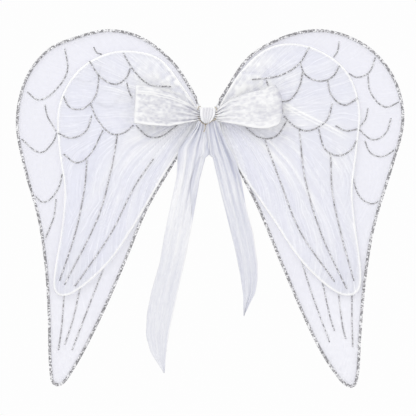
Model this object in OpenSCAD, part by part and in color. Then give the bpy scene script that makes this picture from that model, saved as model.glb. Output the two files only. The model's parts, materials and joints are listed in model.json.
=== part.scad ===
// Child's dress-up fairy wings: two double wings of stocking net on bent wire frames,
// held together by a cloth binding and a satin ribbon bow, with elastic arm straps behind.
// X runs across the wings, Z is up, -Y is the bow side and +Y is the wearer's side.
// The origin is the middle of the back pad's outer face.

/* [Wings] */
// How far the left outer wing reaches sideways from its root
wing_reach = 228; // [185:1:275]
// Height of the left outer wing, from its lower tip to its highest point
wing_height = 442; // [365:1:535]
// Distance between the two wing roots
root_spacing = 20; // [19:0.5:25]

/* [Frame wire] */
// Diameter of the wire in the two outer frames
outer_wire_d = 2.5; // [1.8:0.1:3.2]
// Diameter of the wire in the two inner frames
inner_wire_d = 2; // [1.4:0.1:2.6]
// Wall of the crimped sleeve that joins the two ends of an outer wire
joiner_wall = 0.6; // [0.4:0.1:1]
// Length of that sleeve
joiner_length = 8; // [5:0.5:8.5]

/* [Net] */
// Thickness of one layer of stretched net
net_thickness = 0.3; // [0.2:0.05:0.5]
// Gap between the outer wing's glitter edge and the inner wing behind the net
panel_gap = 0.5; // [0.4:0.1:2]

/* [Glitter] */
// Width of the glitter bead inside the outer frame's centre line
edge_inside = 2.2; // [1:0.1:3]
// Width of the glitter bead outside the outer frame's centre line
edge_outside = 2.4; // [2.2:0.1:3.5]
// Height of the glitter bead above the net
edge_height = 1.2; // [0.6:0.1:1.6]
// Width of a drawn glitter line
line_width = 1.8; // [1:0.1:2.6]
// Height of a drawn glitter line above the net
line_height = 0.8; // [0.4:0.1:1]

/* [Centre] */
// Height of the cloth binding round the two roots
wrap_height = 10; // [9:0.5:14]
// Wall of that binding outside the crimped sleeves
wrap_wall = 1.4; // [1:0.1:2.5]
// Thickness of the back pad
pad_thickness = 2; // [1.5:0.1:4]
// Width of the back pad
pad_width = 19; // [12:0.5:19]
// Height of the back pad
pad_height = 14; // [8:0.5:14]

/* [Bow] */
// Reach of a bow loop from the knot's side
loop_reach = 80; // [50:1:95]
// Height of a bow loop at its outer end
loop_height = 46; // [30:1:60]
// Depth of a bow loop from its back layer to its front layer
loop_depth = 6.5; // [4:0.5:10]
// Depth of a bow loop where it is pinched beside the knot
pinch_depth = 3; // [2.4:0.1:5]
// Thickness of the ribbon
ribbon_thickness = 0.6; // [0.4:0.1:1]
// Width of the knot at its top
knot_width = 19.5; // [16:0.5:22]
// Height of the knot
knot_height = 19.5; // [15:0.5:22]
// Depth of the knot in front of the binding
knot_depth = 13; // [11:0.5:16]
// Length of the longer ribbon tail below the knot
tail_length = 309; // [240:1:380]
// Thickness taken by a ribbon tail and its lengthwise folds
tail_depth = 2.4; // [1.2:0.1:3]
// Diameter of the gold thread round the knot
thread_d = 0.9; // [0.5:0.1:1.2]

/* [Arm straps] */
// Width of the elastic strap
strap_width = 6; // [4:0.5:6]
// Thickness of the elastic strap
strap_thickness = 1; // [0.6:0.1:1.6]
// Height of the stitched loop that holds a strap on the wing's root
strap_loop_height = 1.8; // [1.4:0.1:3]
// How far an arm strap reaches sideways from the wing's root
strap_reach = 150; // [110:1:165]

/* [Clearances] */
// Gap between a still face and its neighbour on the same piece
snug = 0.05; // [0.03:0.01:0.1]
// Gap round a wire that turns in its hole
turning_gap = 0.05; // [0.03:0.01:0.1]
// Gap between the eyes stacked along a wing's root
stack_gap = 0.35; // [0.3:0.05:0.6]
// Gap between the knot, the bow's loops and the tails
bow_gap = 0.3; // [0.2:0.05:0.8]
// Gap between a bow loop and the inner wing when that wing is bent forward
loop_clearance = 1.5; // [0.8:0.1:5]
// Angle that an inner wing can be bent forward
spread_angle = 5; // [0:1:6]

/* [Hidden] */

LEFT = 0;
RIGHT = 1;
curve_steps = 5;   // straight pieces between two points of an outline
line_steps = 4;    // straight pieces between two points of a glitter line
wire_sides = 8;    // sides of a bent wire
round_fn = 64;

// Outlines are drawn for these sizes, from the root's top to its bottom, as [out, up].
pattern_reach = 228;
pattern_height = 442;
pattern_root = 10;
outer_outline = [
    [[20, 29], [46, 67], [84, 96], [124, 105], [165, 96], [200, 80], [227, 44], [238, -8],
        [229, -63], [211, -128], [202, -188], [198, -250], [196, -318], [189, -337],
        [172, -321], [139, -260], [107, -188], [79, -120], [51, -71], [21, -24]],
    [[22, 29], [51, 71], [91, 95], [134, 105], [173, 98], [209, 76], [235, 38], [243, -8],
        [229, -64], [206, -141], [195, -210], [189, -280], [186, -325], [179, -339],
        [159, -321], [133, -277], [94, -188], [65, -118], [42, -72], [18, -22]]];
inner_outline = [
    [[17, 12], [34, 37], [59, 68], [89, 78], [124, 76], [162, 54], [185, 11], [185, -42],
        [178, -92], [182, -146], [191, -200], [188, -223], [168, -221], [126, -185],
        [92, -136], [53, -70], [23, -26], [17, -17]],
    [[17, 14], [40, 51], [71, 80], [103, 88], [139, 79], [172, 54], [188, 10], [185, -40],
        [179, -95], [183, -141], [190, -200], [184, -222], [161, -221], [118, -183],
        [80, -127], [41, -69], [22, -30], [17, -18]]];

// Glitter lines: feather scallops near the top of each wing, long quills below them.
outer_lines = [
    [[[179, 83], [176, 54], [194, 28], [212, 19], [226, 29]],
        [[143, 85], [139, 78], [133, 76]],
        [[204, 13], [201, -1], [190, -20]],
        [[233, -30], [210, -47], [194, -34], [189, -22]],
        [[218, -100], [204, -109], [188, -93], [182, -73]],
        [[190, -105], [193, -128], [204, -156]],
        [[167, 46], [152, 41], [139, 48], [133, 64]],
        [[139, 16], [127, 10], [116, 14], [107, 28]],
        [[180, -226], [183, -265], [187, -294]],
        [[160, -217], [169, -256], [179, -287]],
        [[131, -193], [151, -244], [170, -294]]],
    [[[164, 92], [162, 80], [157, 72]],
        [[209, 72], [202, 54], [187, 47], [176, 52]],
        [[200, 51], [203, 29], [221, 10], [240, 17]],
        [[200, 9], [197, -5], [188, -17]],
        [[229, -4], [222, -23], [206, -31], [189, -18]],
        [[196, -32], [203, -47], [218, -52], [234, -43]],
        [[181, -78], [189, -101], [204, -111], [215, -107]],
        [[117, -183], [130, -224], [152, -284]],
        [[143, -209], [152, -250], [158, -270]],
        [[163, -222], [168, -262], [172, -280]],
        [[180, -225], [180, -257], [181, -290]]]];
inner_lines = [
    [[[148, 67], [134, 47], [116, 38], [102, 46], [97, 58]],
        [[106, 77], [90, 52], [73, 38], [46, 35]],
        [[101, 40], [100, 33], [95, 21]],
        [[180, 23], [172, 9], [155, 8], [140, 24], [136, 49]],
        [[146, 13], [139, -4], [122, -23], [106, -23], [93, -13]],
        [[187, -23], [170, -29], [152, -20], [145, -1]],
        [[180, -49], [163, -60], [146, -48], [131, -19]],
        [[90, -13], [75, -27], [58, -27], [38, -13]],
        [[151, -57], [154, -92], [165, -146], [185, -207]],
        [[113, -25], [120, -65], [137, -128], [179, -212]],
        [[68, -55], [92, -90], [121, -148], [166, -214]]],
    [[[126, 84], [114, 64], [90, 49], [55, 44]],
        [[164, 61], [155, 47], [139, 42], [122, 49], [115, 64]],
        [[118, 53], [114, 35], [103, 19], [92, 16]],
        [[73, 43], [75, 36]],
        [[149, 43], [154, 24], [170, 12], [187, 21]],
        [[155, 14], [148, -7], [126, -20], [109, -15], [95, -2]],
        [[91, 15], [93, 3], [90, -3]],
        [[47, -16], [65, -29], [85, -27], [98, -8]],
        [[138, -18], [146, -43], [163, -51], [178, -44], [185, -32]],
        [[159, -14], [172, -20], [186, -18]],
        [[71, -32], [90, -83], [115, -146], [158, -208]],
        [[114, -19], [121, -80], [141, -148], [173, -217]],
        [[153, -49], [155, -97], [168, -157], [182, -207]]]];

// The bow as seen from its front, for these sizes.
pattern_loop_reach = 80;
pattern_loop_height = 46;
loop_outline = [
    [[0, 5], [13, 15], [34, 26], [56, 33], [84, 36], [84, -11], [62, -14], [36, -15],
        [18, -11], [0, -7]],
    [[0, 6], [16, 21], [36, 29], [54, 33], [84, 36], [84, -9], [66, -15], [53, -16],
        [36, -15], [16, -11], [0, -8]]];
pattern_knot_width = 19.5;
pattern_knot_height = 19.5;
knot_outline = [[-10, 8.3], [-10, 0], [-8.4, -6.8], [-4, -11.2], [0, -11.2], [5.6, -6.8],
    [8.8, 0], [9.5, 8.3]];
pattern_tail_length = 309;
tail_top = -13;
tail_outline = [
    [[-13, 0], [-27, -18], [-37, -30], [-39, -66], [-45, -94], [-54, -137], [-60, -172],
        [-70, -206], [-76, -236], [-77, -262], [-71, -283], [-54, -309], [-52, -286],
        [-48, -255], [-37, -205], [-28, -166], [-20, -126], [-9, -68], [1, -36], [-1.8, 0]],
    [[14, 0], [24, -24], [34, -43], [41, -66], [47, -101], [56, -134], [62, -174],
        [62, -191], [59, -208], [44, -238], [44, -212], [40, -186], [33, -152],
        [22, -109], [11, -68], [2, -36], [-1.2, 0]]];

// Arm strap's way round, from the root's upper loop to its lower one.
pattern_strap_reach = 150;
strap_route = [[60, 36], [110, 42], [148, 12], [160, -42], [136, -92], [96, -106], [66, -68],
    [36, -26]];

// Depths, counted from the plane of the outer frames.
pinch_inset = 0.8;   // how much nearer the wings the loops lie where they are pinched
tail_inset = 1.3;    // how far in front of the pinched loops' back the tails lie
root_x = root_spacing / 2;
outer_r = outer_wire_d / 2;
inner_r = inner_wire_d / 2;
outer_cavity = outer_r + snug;
outer_shell = outer_cavity + net_thickness;
inner_cavity = inner_r + snug;
inner_shell = inner_cavity + net_thickness;
edge_back = outer_shell + snug;
edge_front = edge_back + edge_height;
inner_plane = edge_front + panel_gap + inner_shell;
inner_line_back = inner_plane + inner_shell + snug;
inner_front = inner_line_back + line_height;
joiner_r = outer_r + joiner_wall;
wrap_half_depth = joiner_r + turning_gap + wrap_wall;
pad_face = wrap_half_depth + pad_thickness;
knot_back = wrap_half_depth + bow_gap * 2.5;
knot_front = wrap_half_depth + knot_depth;
pinch_back = inner_front + 2 * loop_clearance - pinch_inset;
loop_end_back = inner_front + loop_reach * sin(spread_angle) + loop_clearance;
tail_back = pinch_back + tail_inset;
strap_back = outer_shell + 4 * stack_gap;

// Heights along a root, from the binding outwards.
ring_r = outer_r + 2 * turning_gap + inner_r;
ring_z = wrap_height / 2 + stack_gap + inner_r;
strap_loop_z = ring_z + inner_r + stack_gap;
strap_loop_r = outer_r + 2 * turning_gap + strap_thickness;
root_half = strap_loop_z + strap_loop_height + stack_gap;
mouth_x = root_x + ring_r + inner_r + 2 * turning_gap;
inner_mouth_x = mouth_x + 4;
inner_level_x = inner_mouth_x - 0.5;
line_trim = edge_inside + 0.3;

// Where an inner frame's wire leaves its eye, counted from the root, and how it starts to rise.
eye_start = 1.5;
eye_neck = 3.2;
eye_rise = 0.6;

reach_scale = wing_reach / pattern_reach;
height_scale = wing_height / pattern_height;

function mix(a, b, t) = a + (b - a) * t;
function ease(t) = let (u = min(1, max(0, t))) u * u * (3 - 2 * u);
function unit(v) = v / norm(v);
// A point on the smooth curve from b to c, which comes from a and goes on to d.
function curve_point(a, b, c, d, t) = let (
    span = norm(c - b),
    from_b = span * unit(c - a),
    into_c = span * unit(d - b))
    (2 * t * t * t - 3 * t * t + 1) * b + (t * t * t - 2 * t * t + t) * from_b
        + (3 * t * t - 2 * t * t * t) * c + (t * t * t - t * t) * into_c;

// A smooth curve through the points of p, with straight run-outs at both ends.
function smooth(p, steps) = let (last = len(p) - 1) concat(
    [for (i = [0 : last - 1], k = [0 : steps - 1]) let (
        before = i == 0 ? 2 * p[0] - p[1] : p[i - 1],
        after = i == last - 1 ? 2 * p[last] - p[last - 1] : p[i + 2])
        curve_point(before, p[i], p[i + 1], after, k / steps)],
    [p[last]]);

function heading(c, i) = unit(c[min(i + 1, len(c) - 1)] - c[max(i - 1, 0)]);
// The curve c moved by d to the left of its direction of travel.
function beside(c, d) = [for (i = [0 : len(c) - 1]) let (t = heading(c, i))
    c[i] + d * [-t[1], t[0]]];
function reversed(c) = [for (i = [len(c) - 1 : -1 : 0]) c[i]];
function band(c, left, right) = concat(beside(c, left), reversed(beside(c, -right)));

function on_wing(p) = [root_x + (p[0] - pattern_root) * reach_scale, p[1] * height_scale];
function outer_curve(w) = smooth(concat([[root_x, root_half]],
    [for (p = outer_outline[w]) on_wing(p)], [[root_x, -root_half]]), curve_steps);
function inner_curve(w) = smooth(concat(
    [[root_x + eye_start, ring_z], [root_x + eye_neck, ring_z + eye_rise]],
    [for (p = inner_outline[w]) on_wing(p)],
    [[root_x + eye_neck, -ring_z - eye_rise], [root_x + eye_start, -ring_z]]), curve_steps);
function line_curve(p) = smooth([for (q = p) on_wing(q)], line_steps);

// Every sub-part is drawn with the outer frames at y = 0, on the right, then put in place.
module place() {
    translate([0, -pad_face, 0]) children();
}
module on_side(w) {
    place() if (w == LEFT) mirror([1, 0, 0]) children(); else children();
}

// A flat outline in X and Z, made solid from one depth in front of y = 0 to another.
module slab(points, front, back) {
    translate([0, -back, 0]) rotate([90, 0, 0]) linear_extrude(front - back)
        polygon(points);
}
module beyond(x) {
    reach = 2 * wing_reach;
    translate([x, -reach, -2 * wing_height]) cube([2 * reach, 2 * reach, 4 * wing_height]);
}

// A round bar along a path of [x, y, z] points.
module bar(path, r) {
    last = len(path) - 1;
    rings = [for (i = [0 : last]) let (
        t = heading(path, i),
        s = unit(cross(t, [0, 1, 0])),
        u = cross(s, t))
        for (k = [0 : wire_sides - 1]) let (a = 360 * k / wire_sides)
            path[i] + r * (cos(a) * s + sin(a) * u)];
    sides = [for (i = [0 : last - 1], k = [0 : wire_sides - 1]) let (
        a = i * wire_sides + k,
        b = i * wire_sides + (k + 1) % wire_sides)
        [a, b, b + wire_sides, a + wire_sides]];
    near_end = [for (k = [wire_sides - 1 : -1 : 0]) k];
    far_end = [for (k = [0 : wire_sides - 1]) last * wire_sides + k];
    polyhedron(rings, concat([near_end], sides, [far_end]), 3);
}

// ---- frames ----

module outer_frame(w) {
    color("gainsboro") on_side(w) {
        translate([root_x, 0, -root_half]) cylinder(r = outer_r, h = 2 * root_half, $fn = round_fn);
        bar([for (p = outer_curve(w)) [p[0], 0, p[1]]], outer_r * 0.985);
    }
}
module wire_joiner(w) {
    color("silver") on_side(w) translate([root_x, 0, -joiner_length / 2]) difference() {
        cylinder(r = joiner_r, h = joiner_length, $fn = round_fn);
        translate([0, 0, -1]) cylinder(r = outer_r + snug / 2, h = joiner_length + 2, $fn = round_fn);
    }
}
module inner_frame(w) {
    color("whitesmoke") on_side(w) {
        for (z = [-ring_z, ring_z]) translate([root_x, 0, z - inner_r]) difference() {
            cylinder(r = ring_r + inner_r, h = inner_wire_d, $fn = round_fn);
            translate([0, 0, -1])
                cylinder(r = ring_r - inner_r, h = inner_wire_d + 2, $fn = round_fn);
        }
        bar([for (p = inner_curve(w)) let (out = (p[0] - root_x) / (inner_level_x - root_x))
            [p[0], -mix(ring_r, inner_plane, ease(out)), p[1]]], inner_r * 0.985);
    }
}

// ---- stocking net, a flat bag pulled over each frame and open at the root ----

module net_bag(curve, depth, cavity, shell, mouth) {
    difference() {
        intersection() {
            slab(beside(curve, shell), depth + shell, depth - shell);
            beyond(mouth);
        }
        slab(beside(curve, cavity), depth + cavity, depth - cavity);
    }
}
module outer_net(w) {
    color("white", 0.8) on_side(w) net_bag(outer_curve(w), 0, outer_cavity, outer_shell, mouth_x);
}
module inner_net(w) {
    color("white", 0.8) on_side(w)
        net_bag(inner_curve(w), inner_plane, inner_cavity, inner_shell, inner_mouth_x);
}

// ---- glitter ----

module glitter_edge(w) {
    c = outer_curve(w);
    color("silver") on_side(w) intersection() {
        union() {
            slab(band(c, edge_outside, edge_inside), edge_front, edge_back);
            slab(band(c, edge_outside, -edge_back), edge_front, -outer_shell);
        }
        beyond(mouth_x);
    }
}
module outer_glitter(w) {
    color("silver") on_side(w) intersection() {
        union() for (p = outer_lines[w])
            slab(band(line_curve(p), line_width / 2, line_width / 2), edge_back + line_height,
                edge_back);
        slab(beside(outer_curve(w), -line_trim), edge_front, 0);
    }
}
module inner_glitter(w) {
    color("silver") on_side(w) for (p = inner_lines[w])
        slab(band(line_curve(p), line_width / 2, line_width / 2), inner_front, inner_line_back);
}

// ---- binding and back pad ----

module centre_wrap() {
    color("white") place() difference() {
        union() {
            for (x = [-root_x, root_x]) translate([x, 0, -wrap_height / 2])
                cylinder(r = wrap_half_depth, h = wrap_height, $fn = round_fn);
            translate([-root_x, -wrap_half_depth, -wrap_height / 2])
                cube([2 * root_x, 2 * wrap_half_depth, wrap_height]);
        }
        for (x = [-root_x, root_x]) {
            translate([x, 0, -wrap_height])
                cylinder(r = outer_r + turning_gap, h = 2 * wrap_height, $fn = round_fn);
            translate([x, 0, -joiner_length / 2 - turning_gap])
                cylinder(r = joiner_r + turning_gap, h = joiner_length + 2 * turning_gap,
                    $fn = round_fn);
        }
    }
}
module back_pad() {
    corner = 3;
    color("white") place() translate([0, pad_face, 0]) rotate([90, 0, 0]) {
        linear_extrude(pad_thickness) union() {
            square([pad_width, pad_height - 2 * corner], center = true);
            square([pad_width - 2 * corner, pad_height], center = true);
            for (x = [-1, 1], y = [-1, 1])
                translate([x * (pad_width / 2 - corner), y * (pad_height / 2 - corner)])
                    circle(r = corner, $fn = 32);
        }
    }
}

// ---- bow ----

function on_knot(p) = [p[0] * knot_width / pattern_knot_width,
    p[1] * knot_height / pattern_knot_height];
loop_root = knot_width / 2 + thread_d + 2.5 * bow_gap;
function on_loop(p) = [loop_root + p[0] * loop_reach / pattern_loop_reach,
    p[1] * loop_height / pattern_loop_height];
function on_tail(p) = [p[0], tail_top + p[1] * tail_length / pattern_tail_length];

module bow_knot() {
    saddle = 5;
    bulge = 16;
    color("gainsboro") place() {
        intersection() {
            slab([for (p = knot_outline) on_knot(p)], knot_front, knot_back);
            translate([0, bulge - knot_front, -knot_height])
                cylinder(r = bulge, h = 2 * knot_height, $fn = 96);
        }
        translate([-saddle, -knot_back - 0.5, -wrap_height / 2])
            cube([2 * saddle, knot_back + 0.5 - wrap_half_depth - bow_gap, wrap_height]);
    }
}
// The ribbon runs out along the back, turns over at the end and comes back in front.
module bow_loop(w) {
    half = ribbon_thickness / 2;
    end_back = loop_end_back + half;
    end_front = loop_end_back + loop_depth - half;
    end = loop_root + loop_reach;
    route = smooth([
        [loop_root, -pinch_back - half],
        [loop_root + loop_reach * 0.36, -mix(pinch_back, end_back, 0.45)],
        [end - 16, -mix(pinch_back, end_back, 0.85)],
        [end - 3.5, -end_back],
        [end, -(end_back + end_front) / 2],
        [end - 3.5, -end_front],
        [end - 16, -end_front - 0.4],
        [loop_root + loop_reach * 0.36, -mix(pinch_back + pinch_depth, end_front, 0.6)],
        [loop_root, -pinch_back - pinch_depth + half]], curve_steps);
    color("white") on_side(w) intersection() {
        slab([for (p = loop_outline[w]) on_loop(p)], 3 * knot_front, 0);
        translate([0, 0, -loop_height]) linear_extrude(2 * loop_height)
            polygon(band(route, half, half));
    }
}
module bow_tail(w) {
    color("white") place()
        slab([for (p = tail_outline[w]) on_tail(p)], tail_back + tail_depth, tail_back);
}

thread_r = thread_d / 2;
thread_plane = pinch_back + pinch_depth + thread_r + bow_gap;
module gold_tie() {
    round_knot = beside(smooth([for (p = knot_outline) on_knot(p)], 1), -thread_r - bow_gap);
    color("goldenrod") place() {
        bar([for (p = smooth(round_knot, 3)) [p[0], -thread_plane, p[1]]], thread_r);
        for (x = [-1, 1]) bar([for (z = [-8 : 2 : 6])
            [x * (loop_root + 1.2 - 0.02 * z * z), -thread_plane, z]], thread_r);
    }
}
// The thread's loose end lies on the left tail.
module gold_thread_end() {
    front = tail_back + tail_depth + snug + thread_r;
    route = smooth([[-3.5, -15], [-3.6, -17], [-4, -20], [-5.4, -22]], 3);
    color("goldenrod") place() bar([for (p = route) [p[0], -front, p[1]]], thread_r);
}

// ---- arm straps, each held by two stitched loops on its wing's root ----

module arm_strap(w) {
    web = strap_loop_height;
    bore = outer_r + 2 * turning_gap;
    side = strap_loop_r;
    route = smooth(concat([[root_x + 6, strap_loop_z + web / 2]],
        [for (p = strap_route) [root_x + (p[0] - pattern_root) * strap_reach / pattern_strap_reach,
            p[1] * height_scale]],
        [[root_x + 6, -strap_loop_z - web / 2]]), curve_steps);
    color("white") on_side(w) {
        for (z = [strap_loop_z, -strap_loop_z - web]) translate([root_x, 0, z]) difference() {
            union() {
                cylinder(r = side, h = web, $fn = round_fn);
                linear_extrude(web) polygon([[-side * 0.8, side * 0.6], [side, 0],
                    [side, strap_back], [7.4, strap_back], [7.4, strap_back + strap_width],
                    [6, strap_back + strap_width]]);
            }
            translate([0, 0, -1]) cylinder(r = bore, h = web + 2, $fn = round_fn);
        }
        slab(band(route, strap_thickness / 2, strap_thickness / 2), -strap_back,
            -strap_back - strap_width);
    }
}

outer_frame(LEFT);  // left_outer_frame
outer_frame(RIGHT);  // right_outer_frame
wire_joiner(LEFT);  // left_wire_joiner
wire_joiner(RIGHT);  // right_wire_joiner
outer_net(LEFT);  // left_outer_net
outer_net(RIGHT);  // right_outer_net
glitter_edge(LEFT);  // left_glitter_edge
glitter_edge(RIGHT);  // right_glitter_edge
outer_glitter(LEFT);  // left_outer_glitter
outer_glitter(RIGHT);  // right_outer_glitter
inner_frame(LEFT);  // left_inner_frame
inner_frame(RIGHT);  // right_inner_frame
inner_net(LEFT);  // left_inner_net
inner_net(RIGHT);  // right_inner_net
inner_glitter(LEFT);  // left_inner_glitter
inner_glitter(RIGHT);  // right_inner_glitter
centre_wrap();
back_pad();
bow_knot();
bow_loop(LEFT);  // bow_left_loop
bow_loop(RIGHT);  // bow_right_loop
bow_tail(LEFT);  // bow_left_tail
bow_tail(RIGHT);  // bow_right_tail
gold_tie();
gold_thread_end();
arm_strap(LEFT);  // left_arm_strap
arm_strap(RIGHT);  // right_arm_strap
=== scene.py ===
# %% [markdown]
# # Fairy wings
# A child's dress-up wings: white stocking net stretched on bent wire, feather lines drawn with
# glitter glue, and a satin ribbon bow tied over the middle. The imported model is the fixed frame
# that everything here is built around, so it is loaded first and its box is kept.

# %% Load the frame
import json
import math

import bmesh
import bpy
import numpy as np
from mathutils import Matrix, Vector, geometry


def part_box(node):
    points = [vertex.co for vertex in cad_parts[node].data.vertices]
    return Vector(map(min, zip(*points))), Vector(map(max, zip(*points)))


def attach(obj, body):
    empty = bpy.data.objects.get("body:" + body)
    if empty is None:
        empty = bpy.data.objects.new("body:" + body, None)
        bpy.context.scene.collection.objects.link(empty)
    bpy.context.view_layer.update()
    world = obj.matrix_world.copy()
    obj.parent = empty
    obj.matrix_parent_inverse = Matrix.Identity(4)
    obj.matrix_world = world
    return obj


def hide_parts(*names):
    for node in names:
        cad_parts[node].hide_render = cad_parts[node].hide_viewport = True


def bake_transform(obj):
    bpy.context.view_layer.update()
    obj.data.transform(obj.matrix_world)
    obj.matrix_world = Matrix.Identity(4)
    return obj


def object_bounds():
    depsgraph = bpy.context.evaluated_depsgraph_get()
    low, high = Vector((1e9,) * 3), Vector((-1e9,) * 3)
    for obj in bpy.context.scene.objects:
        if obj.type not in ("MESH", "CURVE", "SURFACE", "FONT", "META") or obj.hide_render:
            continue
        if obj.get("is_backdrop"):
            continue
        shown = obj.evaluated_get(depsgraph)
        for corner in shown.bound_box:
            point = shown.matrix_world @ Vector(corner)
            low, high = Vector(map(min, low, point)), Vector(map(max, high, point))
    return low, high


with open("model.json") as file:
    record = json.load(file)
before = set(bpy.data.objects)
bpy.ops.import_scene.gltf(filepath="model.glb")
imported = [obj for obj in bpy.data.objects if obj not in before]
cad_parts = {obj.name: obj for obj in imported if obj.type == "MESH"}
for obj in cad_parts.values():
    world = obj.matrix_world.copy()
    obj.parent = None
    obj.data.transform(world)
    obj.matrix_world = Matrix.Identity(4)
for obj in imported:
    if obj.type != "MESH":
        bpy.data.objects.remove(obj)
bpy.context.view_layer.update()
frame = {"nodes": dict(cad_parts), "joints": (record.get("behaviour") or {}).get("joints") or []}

MM = 0.001
SIDES = {"left": -1, "right": 1}

# %% [markdown]
# ## Camera, stage and light
# Such wings are shown flat on, in even studio light on white. A long lens keeps the drawing flat.
# A large soft key lamp above the left shoulder gives the folds their shading, a weaker fill and a
# pale world open the shadows, and a lamp behind shines through the net.

# %% Camera
scene = bpy.context.scene
WING_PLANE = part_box("left_outer_net")[0].y
VIEW_WIDTH, VIEW_LEVEL, LENS, SENSOR = 0.520, -0.11625, 120, 36
camera_data = bpy.data.cameras.new("camera")
camera_data.lens, camera_data.sensor_width = LENS, SENSOR
camera = bpy.data.objects.new("camera", camera_data)
scene.collection.objects.link(camera)
camera.location = (0, WING_PLANE - VIEW_WIDTH * LENS / SENSOR, VIEW_LEVEL)
camera.rotation_euler = (math.pi / 2, 0, 0)
scene.camera = camera
print("camera", [round(x, 3) for x in camera.location])


# %% Node helper
def add(tree, kind, inputs=None, **settings):
    """Adds a node, sets its settings, and fills or links its inputs."""
    made = tree.nodes.new(kind)
    for name, value in settings.items():
        setattr(made, name, value)
    for name, value in (inputs or {}).items():
        socket = made.inputs[name]
        if isinstance(value, bpy.types.NodeSocket):
            tree.links.new(value, socket)
        else:
            socket.default_value = value
    return made


def maths(tree, operation, *values, **settings):
    """The result of a maths node on its values."""
    return add(tree, "ShaderNodeMath", dict(enumerate(values)), operation=operation,
               **settings).outputs[0]


def noise(tree, where, scale, **inputs):
    """A noise texture's value."""
    return add(tree, "ShaderNodeTexNoise",
               {"Vector": where, "Scale": scale, **inputs}).outputs["Fac"]


def spread(tree, value, low, high, start=0.0, end=1.0):
    """A value that runs from start to end, spread over low to high."""
    return add(tree, "ShaderNodeMapRange",
               {"Value": value, "From Min": start, "From Max": end, "To Min": low,
                "To Max": high}).outputs["Result"]


def mapped(tree, where, **inputs):
    """Coordinates that are turned or stretched."""
    return add(tree, "ShaderNodeMapping", {"Vector": where, **inputs}).outputs["Vector"]


def on_object(tree):
    """Coordinates that follow the object, in metres."""
    return add(tree, "ShaderNodeTexCoord").outputs["Object"]


def on_cloth(tree):
    """Coordinates that follow the cloth, in metres."""
    return add(tree, "ShaderNodeTexCoord").outputs["UV"]


def mark(tree, name):
    """A number kept at each vertex."""
    return add(tree, "ShaderNodeAttribute", attribute_name=name).outputs["Fac"]


def linked(thing):
    """Puts a new object in the scene."""
    scene.collection.objects.link(thing)
    return thing


# %% Floor, world and lamps
FLOOR_LEVEL, FLOOR_RADIUS = -0.9, 3.0
WHITE_SEEN, WHITE_LIGHT = 0.985, 0.80
LAMPS_AIM = Vector((0, 0, -0.1))
LAMPS = {"key": ((-0.9, -1.3, 1.5), 1.1, 13.0), "fill": ((1.6, -1.6, 0.2), 1.4, 5.0),
         "back": ((0.4, 2.2, 0.9), 1.6, 14.0)}
floor_mesh = bpy.data.meshes.new("floor")
shape = bmesh.new()
bmesh.ops.create_circle(shape, cap_ends=True, radius=FLOOR_RADIUS, segments=96)
bmesh.ops.translate(shape, verts=shape.verts, vec=(0, 0, FLOOR_LEVEL))
shape.to_mesh(floor_mesh)
shape.free()
floor = linked(bpy.data.objects.new("floor", floor_mesh))
paint = bpy.data.materials.new("floor paint")
paint.use_nodes = True
tree = paint.node_tree
plate = tree.nodes["Principled BSDF"]
grain = add(tree, "ShaderNodeTexNoise", {"Scale": 40.0}).outputs["Fac"]
tree.links.new(spread(tree, grain, 0.93, 0.97), plate.inputs["Base Color"])
plate.inputs["Roughness"].default_value = 0.9
floor_mesh.materials.append(paint)
floor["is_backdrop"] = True

world = bpy.data.worlds.new("studio")
scene.world = world
world.use_nodes = True
sky = world.node_tree
ray = add(sky, "ShaderNodeLightPath")
sky.links.new(spread(sky, ray.outputs["Is Camera Ray"], WHITE_LIGHT, WHITE_SEEN),
              sky.nodes["Background"].inputs["Strength"])
sky.nodes["Background"].inputs["Color"].default_value = (1, 1, 1, 1)
for name, (spot, size, watts) in LAMPS.items():
    lamp = bpy.data.lights.new(name, "AREA")
    lamp.size, lamp.energy = size, watts
    holder = linked(bpy.data.objects.new(name, lamp))
    holder.location = spot
    holder.rotation_euler = (LAMPS_AIM - Vector(spot)).to_track_quat("-Z", "Y").to_euler()
scene.view_settings.view_transform = "Standard"
print("stage ready with", len(LAMPS), "lamps")

# %% [markdown]
# ## Tools of the trade
# Everything follows the frame, so the first helpers read a wing's outline off its net. Others make
# a smooth random field, which is what crumpled cloth looks like, and turn points into a mesh.


# %% Read the frame
SAME_POINT, ON_FACE = 1e-6, 2e-5


def merged(node):
    """A CAD node's mesh with its loose triangles joined, as a bmesh."""
    made = bmesh.new()
    made.from_mesh(frame["nodes"][node].data)
    bmesh.ops.remove_doubles(made, verts=made.verts, dist=SAME_POINT)
    return made


def fresh_mesh(made, name):
    """A new mesh from a bmesh, which is freed."""
    mesh = bpy.data.meshes.new(name)
    made.to_mesh(mesh)
    made.free()
    return mesh


def joint_place(name):
    """Where a joint turns, as the frame gives it."""
    return next(j for j in frame["joints"] if j["name"] == name)["pos_m"]


def face_outline(node, front=True):
    """The outline of a node's flat front or back face, as (x, z) points in order."""
    made = merged(node)
    side = (min if front else max)(v.co.y for v in made.verts)
    flat = {f for f in made.faces if all(abs(v.co.y - side) < ON_FACE for v in f.verts)}
    ways = {}
    for f in flat:
        for e in f.edges:
            if sum(g in flat for g in e.link_faces) == 1:
                a, b = e.verts
                ways.setdefault(a, []).append(b)
                ways.setdefault(b, []).append(a)
    start = max(ways, key=lambda v: v.co.z)
    loop, before, here = [start], None, start
    while True:
        there = [v for v in ways[here] if v is not before][0]
        if there is start:
            break
        loop.append(there)
        before, here = here, there
    points = np.array([(v.co.x, v.co.z) for v in loop])
    made.free()
    x, z = points.T
    turn = x @ np.roll(z, -1) - z @ np.roll(x, -1)
    return points if turn > 0 else points[::-1]


# %% Lines
SHARP_COSINE, TINY = 0.9, 1e-14


def lengths(line):
    """How far along a line each of its points is."""
    return np.concatenate([[0], np.cumsum(np.linalg.norm(np.diff(line, axis=0), axis=1))])


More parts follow.
